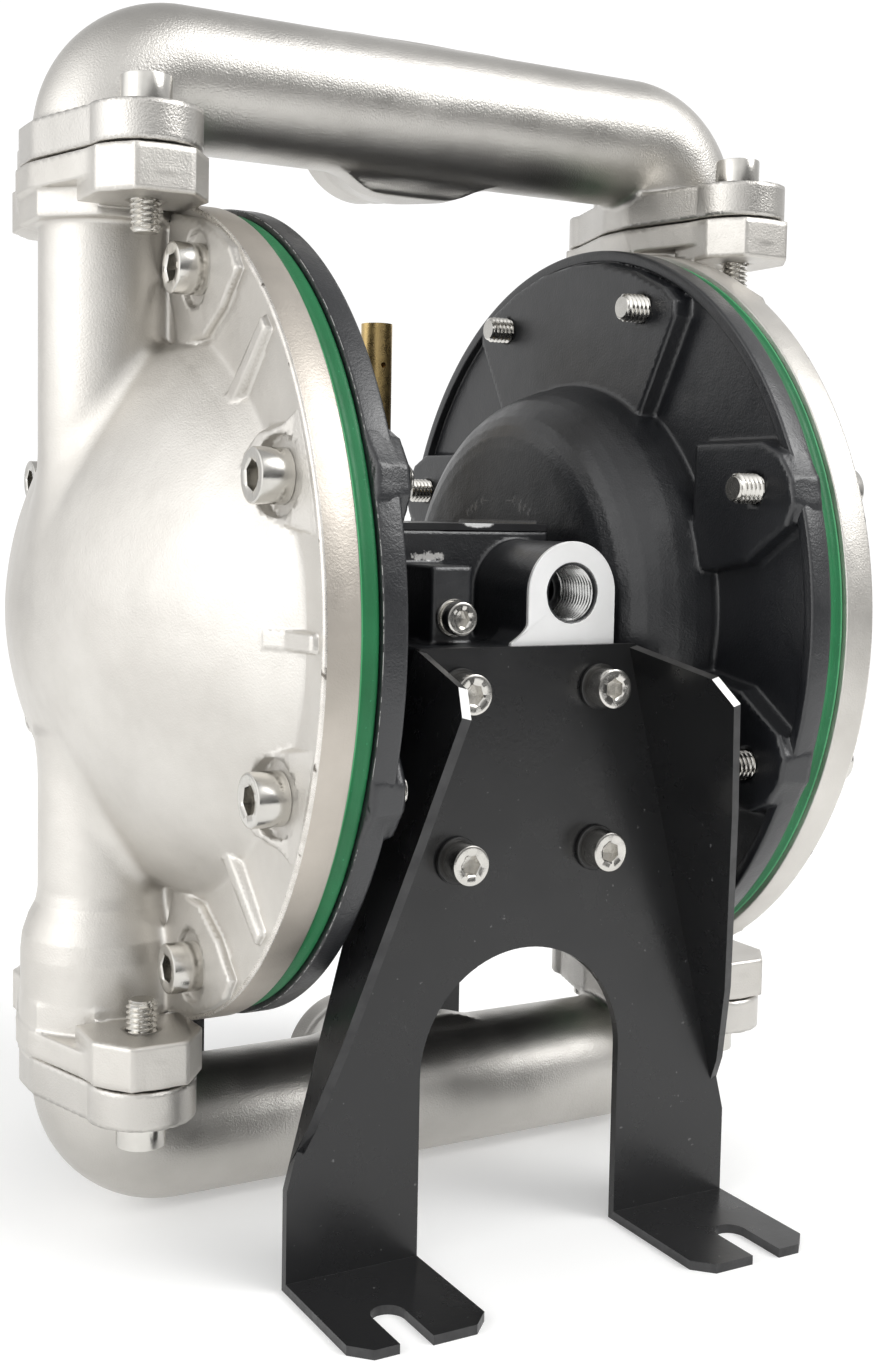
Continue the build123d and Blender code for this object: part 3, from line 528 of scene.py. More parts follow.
def body_fn(x, y, z):
    r = hypot2(y, z)
    ax = np.abs(x)
    d = extr(r - 42.0, x, -30.0, 30.0, 0.4)
    d = smax(d, z - 29.8, 0.6)
    d = smin(d, rbox(x, y, z, (-30, -47, -12), (30, 48.5, 29.8), 0.8), 3.0)
    d = smin(d, rbox(x, y, z, (-30, -62, -90), (30, 64, -6.5), 2.0), 3.0)
    d = smin(d, rbox(x, y, z, (-36, YF, -90), (36, -56, -6.6), 1.6), 2.5)
    d = smin(d, rbox(x, y, z, (-36, 60, -90), (36, YR, -6.6), 1.6), 2.5)
    # air inlet boss
    ri = hypot2(x - 17.3, z - 10.3)
    boss = extr(np.maximum(ri - 16.75, 0 * x - 99), y, YF, -38.0, 0.25)
    leg = rbox(x, y, z, (17.3 - 16.75, YF, -9.0), (17.3 + 16.75, -44.0, 10.3), 0.25)
    boss = np.minimum(boss, leg)
    fx = 0.55 - 6.2 * np.clip((-1.4 - z) / 5.2, 0, 1) ** 1.6
    flare = np.maximum(np.maximum(fx - x, x - 4.0), np.maximum(slab(z, -9.0, -1.4), slab(y, YF, -64.0))) * 0.7
    boss = np.minimum(boss, flare)
    d = smin(d, boss, 1.2)
    # lug with the plug screw
    d = smin(d, rbox(x, y, z, (-28.2, -69.0, -10.0), (-13.0, -40.0, 18.8), 1.3), 1.6)
    # web that carries the roof
    d = smin(d, rbox(x, y, z, (-33.0, -44.0, 22.0), (-13.0, -30.0, 29.8), 1.0), 4.0)
    # rod bore and hub screw holes
    d = np.maximum(d, -rcyl(r, x, 9.6, -40.0, 40.0))
    d = np.maximum(d, -rcyl(r, ax, 13.0, 12.0, 40.0))
    pr = hypot2(y, z + 28.0)
    d = np.maximum(d, -rcyl(pr, x, 4.4, -40.0, 40.0))
    d = np.maximum(d, -rcyl(pr, ax, 7.0, 20.0, 40.0))
    k = 32.0 * sqrt(0.5)
    d = np.maximum(d, -rcyl(hypot2(np.abs(y) - k, np.abs(z) - k), ax, 4.2, 13.0, 40.0))
    # air inlet
    d = np.maximum(d, -rcyl(ri, y, 9.3, YF - 2, YF + 20.0))
    d = np.maximum(d, -rcyl(ri, y, 6.0, YF, -34.0))
    d = np.maximum(d, -(hypot2(hypot2(x - 17.3, z - 22.6), y - YF) - 0.8))
    # bracket screws, plug, valve screws
    for zz in (-20.3, -74.0):
        rb = hypot2(ax - 26.5, z - zz)
        d = np.maximum(d, -rcyl(rb, y, 4.2, YF - 1, YF + 18.0))
        d = np.maximum(d, -rcyl(rb, y, 4.2, YR - 18.0, YR + 1))
    d = np.maximum(d, -rcyl(hypot2(x + 20.6, z - 2.0), y, 4.2, -75.0, -56.0))
    for zz in (2.2, 26.8):
        d = np.maximum(d, -rcyl(hypot2(ax - 25.2, z - zz), y, 2.1, 36.0, 55.0))
    d = np.maximum(d, -rcyl(hypot2(ax - 22.0, np.abs(y) - 36.0), z, 2.7, 18.0, 40.0))
    return d


# ------------------------------------------------------------------ materials
def _n(nt, kind, **kw):
    n = nt.nodes.new(kind)
    for k, v in kw.items():
        if k == 'inputs':
            for i, val in v.items():
                n.inputs[i].default_value = val
        else:
            setattr(n, k, v)
    return n


def _noise(nt, tc, scale, detail=4.0, rough=0.55, distort=0.0):
    n = _n(nt, 'ShaderNodeTexNoise', inputs={'Scale': scale, 'Detail': detail, 'Roughness': rough, 'Distortion': distort})
    nt.links.new(tc.outputs['Object'], n.inputs['Vector'])
    return n


def _ramp(nt, src, lo, hi, c0, c1):
    r = _n(nt, 'ShaderNodeValToRGB')
    r.color_ramp.elements[0].position = lo
    r.color_ramp.elements[1].position = hi
    r.color_ramp.elements[0].color = (*c0, 1) if len(c0) == 3 else c0
    r.color_ramp.elements[1].color = (*c1, 1) if len(c1) == 3 else c1
    nt.links.new(src, r.inputs['Fac'])
    return r


def _range(nt, src, a, b, lo=0.3, hi=0.7):
    r = _n(nt, 'ShaderNodeMapRange', inputs={1: lo, 2: hi, 3: a, 4: b})
    nt.links.new(src, r.inputs[0])
    return r


def _bump(nt, src, strength, dist, prev=None):
    b = _n(nt, 'ShaderNodeBump', inputs={'Strength': strength, 'Distance': dist})
    nt.links.new(src, b.inputs['Height'])
    if prev is not None:
        nt.links.new(prev.outputs['Normal'], b.inputs['Normal'])
    return b


def surface(name, c0, c1, metal=0.0, rough=(0.35, 0.5), tone_scale=14.0, grain=1200.0, grain_h=0.0002, grain_s=0.3,
            lump=0.0, lump_scale=60.0, spec=0.5, coat=0.0, coat_rough=0.1, edge=None, speck=None, aniso_axis=None):
    m = bpy.data.materials.new(name)
    m.use_nodes = True
    nt = m.node_tree
    b = nt.nodes['Principled BSDF']
    b.inputs['Metallic'].default_value = metal
    b.inputs['Specular IOR Level'].default_value = spec
    if coat:
        b.inputs['Coat Weight'].default_value = coat
        b.inputs['Coat Roughness'].default_value = coat_rough
    tc = _n(nt, 'ShaderNodeTexCoord')
    tone = _noise(nt, tc, tone_scale, 5.0, 0.6)
    col = _ramp(nt, tone.outputs['Fac'], 0.32, 0.68, c0, c1)
    out = col.outputs['Color']
    if speck:
        sp = _noise(nt, tc, speck[0], 2.0, 0.5)
        r = _ramp(nt, sp.outputs['Fac'], speck[1], speck[1] + 0.04, (0, 0, 0), (1, 1, 1))
        mix = _n(nt, 'ShaderNodeMix', data_type='RGBA')
        nt.links.new(r.outputs['Color'], mix.inputs['Factor'])
        nt.links.new(out, mix.inputs[6])
        mix.inputs[7].default_value = (*speck[2], 1)
        out = mix.outputs[2]
    if edge:
        geo = _n(nt, 'ShaderNodeNewGeometry')
        er = _ramp(nt, geo.outputs['Pointiness'], edge[0], edge[1], (0, 0, 0), (1, 1, 1))
        en = _noise(nt, tc, 260.0, 4.0, 0.6)
        mul = _n(nt, 'ShaderNodeMath', operation='MULTIPLY')
        nt.links.new(er.outputs['Color'], mul.inputs[0])
        nt.links.new(_range(nt, en.outputs['Fac'], 0.2, 1.0).outputs[0], mul.inputs[1])
        mix = _n(nt, 'ShaderNodeMix', data_type='RGBA')
        nt.links.new(mul.outputs[0], mix.inputs['Factor'])
        nt.links.new(out, mix.inputs[6])
        mix.inputs[7].default_value = (*edge[2], 1)
        out = mix.outputs[2]
    nt.links.new(out, b.inputs['Base Color'])
    rn = _noise(nt, tc, tone_scale * 5.0, 4.0, 0.6)
    nt.links.new(_range(nt, rn.outputs['Fac'], rough[0], rough[1]).outputs[0], b.inputs['Roughness'])
    prev = None
    if lump:
        ln = _noise(nt, tc, lump_scale, 3.0, 0.5)
        prev = _bump(nt, ln.outputs['Fac'], 1.0, lump, None)
    if grain_s:
        gn = _noise(nt, tc, grain, 2.0, 0.6)
        prev = _bump(nt, gn.outputs['Fac'], grain_s, grain_h, prev)
    if prev is not None:
        nt.links.new(prev.outputs['Normal'], b.inputs['Normal'])
    return m


M_CAST = surface("cast_stainless", (0.53, 0.51, 0.478), (0.655, 0.635, 0.60), metal=1.0, rough=(0.39, 0.49), tone_scale=16.0,
                 grain=1500.0, grain_h=0.00028, grain_s=0.4, lump=0.0005, lump_scale=40.0)
M_TUBE = surface("cast_stainless_tube", (0.50, 0.484, 0.455), (0.62, 0.602, 0.572), metal=1.0, rough=(0.31, 0.41), tone_scale=12.0,
                 grain=1500.0, grain_h=0.0003, grain_s=0.5, lump=0.0008, lump_scale=30.0)
M_BLACK = surface("black_cast", (0.0078, 0.0085, 0.0105), (0.0125, 0.0134, 0.0158), rough=(0.29, 0.39), tone_scale=22.0,
                  grain=1300.0, grain_h=0.00025, grain_s=0.45, lump=0.0004, lump_scale=70.0, spec=0.80)
M_SHEET = surface("black_sheet", (0.0065, 0.0066, 0.007), (0.0095, 0.0096, 0.0105), rough=(0.24, 0.33), tone_scale=9.0,
                  grain=500.0, grain_h=0.00012, grain_s=0.25, lump=0.0003, lump_scale=18.0, spec=0.55,
                  speck=(420.0, 0.735, (0.10, 0.10, 0.10)))
# painted shade: a darker, browner copy of cast stainless, put on the left fluid cover's rim only
M_RIM_SHADE = surface("cast_stainless_rim", (0.46, 0.424, 0.378), (0.56, 0.518, 0.466), metal=1.0, rough=(0.40, 0.50), tone_scale=20.0,
                grain=1300.0, grain_h=0.00022, grain_s=0.35, lump=0.00015, lump_scale=60.0)
# painted highlight: a light band with darker speckle on the fluid covers' outer flange corner
M_EDGE_HIGHLIGHT = surface("painted_highlight_flange_edge", (0.58, 0.555, 0.515), (0.76, 0.73, 0.69), metal=0.85, rough=(0.22, 0.36), tone_scale=240.0,
                 grain=2200.0, grain_h=0.0001, grain_s=0.3, speck=(170.0, 0.66, (0.16, 0.145, 0.125)))
# painted highlight: light speckle over the black air cover rims' face next to the diaphragm
M_SPECKLE_HIGHLIGHT = surface("speckled_highlight_black_edge", (0.012, 0.012, 0.013), (0.02, 0.02, 0.021), rough=(0.30, 0.42), tone_scale=40.0,
                 grain=1300.0, grain_h=0.0002, grain_s=0.4, speck=(380.0, 0.47, (0.36, 0.36, 0.35)))
# painted highlight: lighter finish for the bracket wings' top edges
M_TOPEDGE_HIGHLIGHT = surface("painted_highlight_sheet_top_edge", (0.085, 0.084, 0.082), (0.17, 0.168, 0.165), metal=0.6, rough=(0.28, 0.42), tone_scale=90.0, grain=1500.0, grain_h=0.0001, grain_s=0.3)
# painted highlight: lighter green for the diaphragm bead on the fluid side
M_RUBBER_HIGHLIGHT = surface("green_rubber_painted_highlight", (0.05, 0.30, 0.12), (0.09, 0.38, 0.17), rough=(0.4, 0.5), tone_scale=35.0,
                        grain=1100.0, grain_h=0.0002, grain_s=0.35, spec=0.5)
# painted highlight: lighter grey for the brackets' cut edges
M_CUT_HIGHLIGHT = surface("cut_sheet_edge_painted_highlight", (0.026, 0.026, 0.027), (0.050, 0.050, 0.051), metal=0.3, rough=(0.32, 0.48), tone_scale=120.0, grain=1500.0, grain_h=0.0001, grain_s=0.3)
M_BARE = surface("bare_edge", (0.62, 0.62, 0.61), (0.78, 0.78, 0.77), metal=1.0, rough=(0.28, 0.42), grain=2500.0, grain_h=0.0001, grain_s=0.4)
M_RUBBER = surface("green_rubber", (0.006, 0.125, 0.040), (0.010, 0.170, 0.058), rough=(0.42, 0.55), tone_scale=35.0,
                   grain=1100.0, grain_h=0.0002, grain_s=0.35, spec=0.45, speck=(900.0, 0.70, (0.03, 0.26, 0.11)))
M_SCREW = surface("bright_screw", (0.52, 0.505, 0.475), (0.66, 0.645, 0.61), metal=1.0, rough=(0.14, 0.24), tone_scale=60.0,
                  grain=2600.0, grain_h=0.00006, grain_s=0.3)
M_DARKSTEEL = surface("dark_washer", (0.030, 0.030, 0.032), (0.055, 0.054, 0.052), metal=0.6, rough=(0.3, 0.45), tone_scale=60.0, grain=2200.0, grain_h=0.00008, grain_s=0.3)
M_TURNED = surface("turned_steel", (0.55, 0.55, 0.54), (0.68, 0.68, 0.67), metal=1.0, rough=(0.2, 0.32), tone_scale=50.0, grain=2200.0, grain_h=0.00006, grain_s=0.3)
# milled aluminium face: its own light metal colour, made near-white as a painted reflection of the light
M_MILLED_SHEEN = surface("milled_face_painted_sheen", (0.90, 0.90, 0.89), (0.96, 0.96, 0.955), metal=0.35, rough=(0.34, 0.46), tone_scale=40.0, grain=2600.0, grain_h=0.00006, grain_s=0.35)
M_ALU = surface("alu_plate", (0.66, 0.67, 0.68), (0.78, 0.79, 0.80), metal=1.0, rough=(0.3, 0.42), tone_scale=30.0, grain=1800.0, grain_h=0.0001, grain_s=0.35)
M_BLACKALU = surface("black_alu", (0.010, 0.010, 0.011), (0.018, 0.018, 0.020), rough=(0.34, 0.46), tone_scale=30.0, grain=1600.0, grain_h=0.0001, grain_s=0.3)
M_SEAL = surface("seal_rubber", (0.010, 0.010, 0.010), (0.020, 0.020, 0.019), rough=(0.5, 0.65), tone_scale=50.0, grain=1500.0, grain_h=0.0001, grain_s=0.3)
M_WHITE = surface("white_plastic", (0.74, 0.73, 0.70), (0.82, 0.81, 0.79), rough=(0.38, 0.5), tone_scale=30.0, grain=1200.0, grain_h=0.0001, grain_s=0.25)
M_BRASS = surface("brass", (0.50, 0.36, 0.15), (0.66, 0.49, 0.23), metal=1.0, rough=(0.22, 0.38), tone_scale=70.0, grain=1800.0, grain_h=0.00012, grain_s=0.35)


def spot(m, centre, radii, color, wander=0.0):
    """Uneven spot of another colour round one point of the part (pump coordinates, mm)."""
    nt = m.node_tree
    b = nt.nodes['Principled BSDF']
    src = b.inputs['Base Color'].links[0].from_socket
    tc = _n(nt, 'ShaderNodeTexCoord')
    sub = _n(nt, 'ShaderNodeVectorMath', operation='SUBTRACT')
    sub.inputs[1].default_value = tuple(float(v) for v in to_world(centre))
    nt.links.new(tc.outputs['Object'], sub.inputs[0])
    mul = _n(nt, 'ShaderNodeVectorMath', operation='MULTIPLY')
    mul.inputs[1].default_value = tuple(1000.0 / v for v in radii)
    nt.links.new(sub.outputs[0], mul.inputs[0])
    ln = _n(nt, 'ShaderNodeVectorMath', operation='LENGTH')
    nt.links.new(mul.outputs[0], ln.inputs[0])
    out = ln.outputs['Value']
    if wander:
        no = _noise(nt, tc, 420.0, 3.0, 0.6)
        off = _n(nt, 'ShaderNodeMapRange', inputs={1: 0.3, 2: 0.7, 3: -wander, 4: wander})
        nt.links.new(no.outputs['Fac'], off.inputs[0])
        add = _n(nt, 'ShaderNodeMath', operation='ADD')
        nt.links.new(out, add.inputs[0])
        nt.links.new(off.outputs[0], add.inputs[1])
        out = add.outputs[0]
    r = _ramp(nt, out, 0.70, 1.0, (1, 1, 1), (0, 0, 0))
    mix = _n(nt, 'ShaderNodeMix', data_type='RGBA')
    nt.links.new(r.outputs['Color'], mix.inputs['Factor'])
    nt.links.new(src, mix.inputs[6])
    mix.inputs[7].default_value = (*color, 1)
    nt.links.new(mix.outputs[2], b.inputs['Base Color'])
    return m


M_BODY = spot(surface("black_cast_body", (0.0078, 0.0085, 0.0105), (0.0125, 0.0134, 0.0158), rough=(0.29, 0.39), tone_scale=22.0,
                      grain=1300.0, grain_h=0.00025, grain_s=0.45, lump=0.0004, lump_scale=70.0, spec=0.80),
              (-17.5, -47.0, 21.2), (6.6, 6.0, 1.5), (0.62, 0.61, 0.59), 0.55)
# painted highlight: a white spot on the roof plate's front top edge
M_ROOF_HIGHLIGHT = spot(surface("black_alu_roof_painted_highlight", (0.010, 0.010, 0.011), (0.018, 0.018, 0.020), rough=(0.34, 0.46), tone_scale=30.0, grain=1600.0, grain_h=0.0001, grain_s=0.3),
              (2.0, -47.0, 32.4), (6.8, 9.0, 1.7), (0.86, 0.86, 0.85), 0.15)
SLOT_MATS = {"cast_stainless": M_CAST, "black_cast": M_BLACK, "black_sheet": M_SHEET, "green_rubber": M_RUBBER, "bright_screw": M_SCREW,
             "turned_steel": M_TURNED, "alu_plate": M_ALU, "black_alu": M_BLACKALU, "seal_rubber": M_SEAL, "white_plastic": M_WHITE, "brass": M_BRASS}

# carried-over nodes keep their shape and get the finish of their slot
NODE_SLOT = {}
for _nm, _ob in NODES.items():
    _old = _ob.data.materials[0].name.split('.')[0] if _ob.data.materials and _ob.data.materials[0] else ""
    NODE_SLOT[_nm] = _old
for _m in frame["record"].get("materials", []):
    for _nm in (_m.get("nodes") or _m.get("parts") or []):
        NODE_SLOT[_nm] = _m.get("slot")
for _nm, _ob in NODES.items():
    _mat = SLOT_MATS.get(NODE_SLOT[_nm])
    if _mat is None:
        print("no slot for", _nm, NODE_SLOT[_nm])
        _mat = M_TURNED
    if len(_ob.material_slots) == 0:
        print("no slots on", _nm)
    for _s in _ob.material_slots:
        _s.material = _mat


# ------------------------------------------------------------------ castings
def shade(me, P=None, fn=None, flip_x=False):
    if fn is None:
        me.set_sharp_from_angle(angle=radians(38))
        return
    N = gradient(fn, P, 0.25)
    N /= np.maximum(np.linalg.norm(N, axis=1, keepdims=True), 1e-9)
    if flip_x:
        N = N * np.array([-1.0, 1.0, 1.0])
    me.normals_split_custom_set_from_vertices(N.tolist())


def add_cast(name, node, P, Q, fn, mat, mirror=False, mat_of=None):
    PP = P * np.array([-1.0, 1.0, 1.0]) if mirror else P
    QQ = Q[:, ::-1] if mirror else Q
    me = mesh_from(name, PP, QQ)
    ob = new_object(name, me, mat)
    if mat_of is not None:
        C = PP[QQ].mean(1)
        me.polygons.foreach_set("material_index", mat_of(C, PP, QQ).astype(np.int32))
    if len(me.vertices) == len(P):
        shade(me, P, fn, mirror)
    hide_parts(node)
    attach(ob, "pump")
    return ob


HC = 1.3


def portion(P, Q, keep):
    """The part of a net whose faces' centres pass keep."""
    q = Q[keep(P[Q].mean(1))]
    used = np.unique(q)
    back = np.full(len(P), -1, dtype=np.int64)
    back[used] = np.arange(len(used))
    return P[used], back[q]


P, Q = cast_piece(cover_fn, (83.0, -139.5, -147.5), (148.0, 139.5, 147.5), HC)
for _part, _keep in (("", lambda c: np.abs(c[:, 2]) < 88.0), ("_ends", lambda c: np.abs(c[:, 2]) >= 88.0)):
    p, q = portion(P, Q, _keep)
    add_cast("cast_right_fluid_cover" + _part, "right_fluid_cover", p, q, cover_fn, M_CAST)
    add_cast("cast_left_fluid_cover" + _part, "left_fluid_cover", p, q, cover_fn, M_CAST, mirror=True)

for nm, zt, low in (("top", 177.8, False), ("bottom", 178.6, True)):
    fnm = manifold_fn(zt, low)
    P, Q = cast_piece(fnm, (-146.0, -61.0, 141.0), (146.0, 61.0, 208.0), 1.25)
    if low:
        P = P * np.array([1.0, 1.0, -1.0])
        Q = Q[:, ::-1]
        f2 = (lambda f: (lambda x, y, z: f(x, y, -z)))(fnm)
    else:
        f2 = fnm
    add_cast("cast_%s_manifold" % nm, "%s_manifold" % nm, P, Q, f2, M_TUBE)

P, Q = cast_piece(air_fn, (26.0, -139.5, -139.5), (84.0, 139.5, 139.5), 1.5)
add_cast("cast_right_air_cover", "right_air_cover", P, Q, air_fn, M_BLACK)
add_cast("cast_left_air_cover", "left_air_cover", P, Q, air_fn, M_BLACK, mirror=True)


P, Q = cast_piece(body_fn, (-38.5, -84.5, -93.0), (38.5, 101.5, 32.5), 1.15)
add_cast("cast_centre_body", "centre_body", P, Q, body_fn, M_BODY)


# ------------------------------------------------------------------ machined inlet face and its threaded bore
def outline_plate(name, outer, hole, y0, y1, mat, cham=0.25):
    """Plate in an XZ outline with one round hole, from y0 (front) to y1, with a small edge break."""
    outer = [np.array(q, float) for q in outer]
    cx, cz, r = hole
    n = len(outer)
    ang = [atan2(q[1] - cz, q[0] - cx) for q in outer]
    inner = [np.array([cx + r * cos(a), cz + r * sin(a)]) for a in ang]
    def inset(pts, d):
        out = []
        for i, q in enumerate(pts):
            a, b = pts[i - 1], pts[(i + 1) % len(pts)]
            t = (b - a) / max(np.linalg.norm(b - a), 1e-9)
            out.append(q + np.array([-t[1], t[0]]) * d)
        return out
    rings = [(outer, y1), (outer, y0 + cham), (inset(outer, cham), y0), ([np.array([cx, cz]) + (q - np.array([cx, cz])) * ((r + cham * 2) / r) for q in inner], y0),
             (inner, y0 + cham * 2), (inner, y1)]
    V = [(q[0], y, q[1]) for pts, y in rings for q in pts]
    F = []
    m = len(rings)
    for k in range(m):
        a, b = k * n, ((k + 1) % m) * n
        for i in range(n):
            j = (i + 1) % n
            F.append((a + i, a + j, b + j, b + i))
    me = bpy.data.meshes.new(name)
    me.from_pydata(to_world(np.array(V)).tolist(), [], F)
    me.validate()
    bm = bmesh.new()
    bm.from_mesh(me)
    bmesh.ops.recalc_face_normals(bm, faces=bm.faces)
    bm.to_mesh(me)
    bm.free()
    me.polygons.foreach_set("use_smooth", np.ones(len(me.polygons), dtype=bool))
    me.set_sharp_from_angle(angle=radians(30))
    ob = new_object(name, me, mat)
    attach(ob, "pump")
    return ob


_face = [(17.3 + 16.95 * cos(radians(a)), 10.3 + 16.95 * sin(radians(a))) for a in np.linspace(0, 180, 61)]
_face += [(17.3 - 16.95, 4.0), (17.3 - 16.95, 0.6)]
_face += [(0.35 - 6.6 * ((0.6 - z) / 6.4) ** 1.7, z) for z in np.linspace(0.0, -5.6, 12)] + [(-6.3, -6.9), (-6.3, -9.0), (0.0, -9.0), (6.0, -9.0), (12.0, -9.0), (17.3, -9.0), (23.0, -9.0), (29.0, -9.0), (34.25, -9.0), (34.25, -5.0), (34.25, 0.0), (34.25, 5.0)]
# the milled face carries a painted reflection
ob = outline_plate("milled_inlet_face", _face, (17.3, 10.3, 9.75), YF - 0.18, YF + 1.2, M_MILLED_SHEEN)


# ------------------------------------------------------------------ screws
def screw_parts(d, L, hd, hh, key, pitch, tlen, n=48, cham=0.6, turn=0.0):
    th = 2 * pi * np.arange(n) / n
    hexr = (key / 2) / np.cos(((th + pi / 6 + turn * 0) % (pi / 3)) - pi / 6)
    r = d / 2
    c = lambda q: np.full(n, q)
    rings = []
    depth = 0.56 * pitch
    rings.append((-L, c(r - depth - 0.35)))
    rings.append((-L + 0.35, c(r - depth)))
    z = -L + 0.5
    dz = pitch / 6
    end = -L + tlen
    while z < end:
        t = ((z / pitch) - th / (2 * pi)) % 1.0
        tri = np.abs(2 * t - 1)
        tri = np.clip(tri * 1.25 - 0.12, 0, 1)
        a = min(1.0, (z + L) / (0.8 * pitch), (end - z) / (1.5 * pitch))
        rings.append((z, r - depth * (1 - a) * (z < end - 2 * pitch) - depth * a * (1 - tri)))
        z += dz
    rings.append((end, c(r)))
    rings.append((-0.02, c(r)))
    rings.append((0.0, c(r + 0.3)))
    rings.append((0.0, c(hd / 2 - 0.35)))
    rings.append((0.12, c(hd / 2 - 0.08)))
    rings.append((0.4, c(hd / 2)))
    rings.append((hh - cham, c(hd / 2)))
    rings.append((hh - cham * 0.35, c(hd / 2 - cham * 0.25)))
    rings.append((hh - 0.02, c(hd / 2 - cham)))
    rings.append((hh, c(hd / 2 - cham - 0.25)))
    rc = key / sqrt(3) + 0.35
    rings.append((hh, c(rc)))
    rings.append((hh - 0.45, hexr))
    rings.append((hh * 0.46, hexr))
    rings.append((hh * 0.46, hexr * 0.92))
    V = []
    for zz, rr in rings:
        V.append(np.stack([rr * np.cos(th), rr * np.sin(th), np.full(n, zz)], 1))
    V = np.concatenate(V)
    m = len(rings)
    i = np.arange(n)
    j = (i + 1) % n
    quads = []
    for k in range(m - 1):
        quads.append(np.stack([k * n + i, k * n + j, (k + 1) * n + j, (k + 1) * n + i], 1))
    quads = np.concatenate(quads)
    c0 = len(V)
    V = np.concatenate([V, [[0, 0, -L], [0, 0, hh * 0.46 - key * 0.12]]])
    tris = np.concatenate([np.stack([j, i, np.full(n, c0)], 1), np.stack([(m - 1) * n + i, (m - 1) * n + j, np.full(n, c0 + 1)], 1)])
    return V, quads, tris


def frame_to(direction, spin=0.0):
    z = Vector(direction).normalized()
    up = Vector((0, 0, 1)) if abs(z.z) < 0.9 else Vector((0, 1, 0))
    x = up.cross(z).normalized()
    y = z.cross(x)
    m = Matrix((x, y, z)).transposed() @ Matrix.Rotation(spin, 3, 'Z')
    return np.array(m)


def build_group(name, node, places, geo, mat, body="pump", sharp=32):
    V0, quads, tris = geo
    Vs, F = [], []
    off = 0
    for pos, direction, spin in places:
        M = frame_to(direction, spin)
        Vs.append(V0 @ M.T + np.array(pos))
        F += (quads + off).tolist()
        F += (tris + off).tolist()
        off += len(V0)
    me = bpy.data.meshes.new(name)
    me.from_pydata(to_world(np.concatenate(Vs)).tolist(), [], F)
    me.validate()
    me.polygons.foreach_set("use_smooth", np.ones(len(me.polygons), dtype=bool))
    me.set_sharp_from_angle(angle=radians(sharp))
    ob = new_object(name, me, mat)
    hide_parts(node)
    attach(ob, body)
    return ob


SPIN = [0.31, 1.02, 0.55, 0.12, 0.84, 0.47, 0.93, 0.2]
geo = screw_parts(10.0, 39.3, 16.0, 10.0, 8.0, 1.75, 14.0, n=60)
for side, sx in (("left", -1), ("right", 1)):
    build_group("%s_cover_screw_set" % side, "%s_cover_screws" % side,
                [((sx * 99.0, y, z), (sx, 0, 0), SPIN[i]) for i, (y, z) in enumerate(BOLTS)], geo, M_SCREW)
geo = screw_parts(10.0, 37.2, 16.0, 10.0, 8.0, 1.75, 15.0, n=60)
for nm, sz in (("top", 1), ("bottom", -1)):
    build_group("%s_manifold_screw_set" % nm, "%s_manifold_screws" % nm,
                [((sx * X_R, sy * Y_L, sz * 157.1), (0, 0, sz), SPIN[2 * (sx > 0) + (sy > 0)]) for sx in (-1, 1) for sy in (-1, 1)], geo, M_SCREW)
geo = screw_parts(8.0, 20.0, 13.0, 8.0, 6.0, 1.25, 15.0)
for nm, yf, sy in (("front", -81.7, -1), ("rear", 99.0, 1)):
    build_group("%s_bracket_screw_set" % nm, "%s_bracket_screws" % nm,
                [((x, yf + sy * 4.6, z), (0, sy, 0), SPIN[i]) for i, (x, z) in enumerate([(-26.5, -20.3), (26.5, -20.3), (-26.5, -74.0), (26.5, -74.0)])],
                geo, M_SCREW)
build_group("plug_screw_set", "plug_screw", [((-20.6, -70.4, 2.0), (0, -1, 0), 0.4)], screw_parts(8.0, 12.0, 11.0, 5.5, 5.0, 1.25, 8.0), M_SCREW)
build_group("valve_block_screw_set", "valve_block_screws", [((x, 96.0, z), (0, 1, 0), 0.2 + 0.02 * x) for x in (-25.2, 25.2) for z in (2.2, 26.8)],
            screw_parts(4.0, 56.0, 7.0, 4.0, 3.0, 0.7, 12.0, n=36), M_SCREW)
build_group("valve_cap_screw_set", "valve_cap_screws", [((sx * 33.0, 73.0 + dy, 14.5 + dz), (sx, 0, 0), 0.1 * dy) for sx in (-1, 1) for dy in (-14.5, 14.5) for dz in (-6.0, 6.0)],
            screw_parts(4.0, 7.6, 7.0, 4.0, 3.0, 0.7, 6.0, n=36), M_SCREW)


# ------------------------------------------------------------------ turned rings
def lathe(pts, n=96, closed=True):
    """pts: (along, radius) going round the section, with the section's inside on the left."""
    th = 2 * pi * np.arange(n) / n
    V, quads = [], []
    for s, r in pts:
        V.append(np.stack([r * np.cos(th), r * np.sin(th), np.full(n, s)], 1))
    V = np.concatenate(V)
    m = len(pts)
    i = np.arange(n)
    j = (i + 1) % n
    for k in range(m if closed else m - 1):
        a, b = k * n, ((k + 1) % m) * n
        quads.append(np.stack([a + i, a + j, b + j, b + i], 1))
    return V, np.concatenate(quads), np.zeros((0, 3), dtype=int)


def washer(ri, ro, t, c=0.25):
    return lathe([(c, ri), (0, ri + c), (0, ro - c), (c, ro), (t - c, ro), (t, ro - c), (t, ri + c), (t - c, ri)], 64)


for nm, yf, sy in (("front", -81.7, -1), ("rear", 99.0, 1)):
    build_group("%s_bracket_washer_set" % nm, "%s_bracket_washers" % nm,
                [((x, yf + sy * 3.0, z), (0, sy, 0), 0) for x in (-26.5, 26.5) for z in (-20.3, -74.0)], washer(4.3, 7.6, 1.6), M_DARKSTEEL)
build_group("plug_washer_ring", "plug_washer", [((-20.6, -69.0, 2.0), (0, -1, 0), 0)], washer(4.2, 6.2, 1.4), M_SCREW)

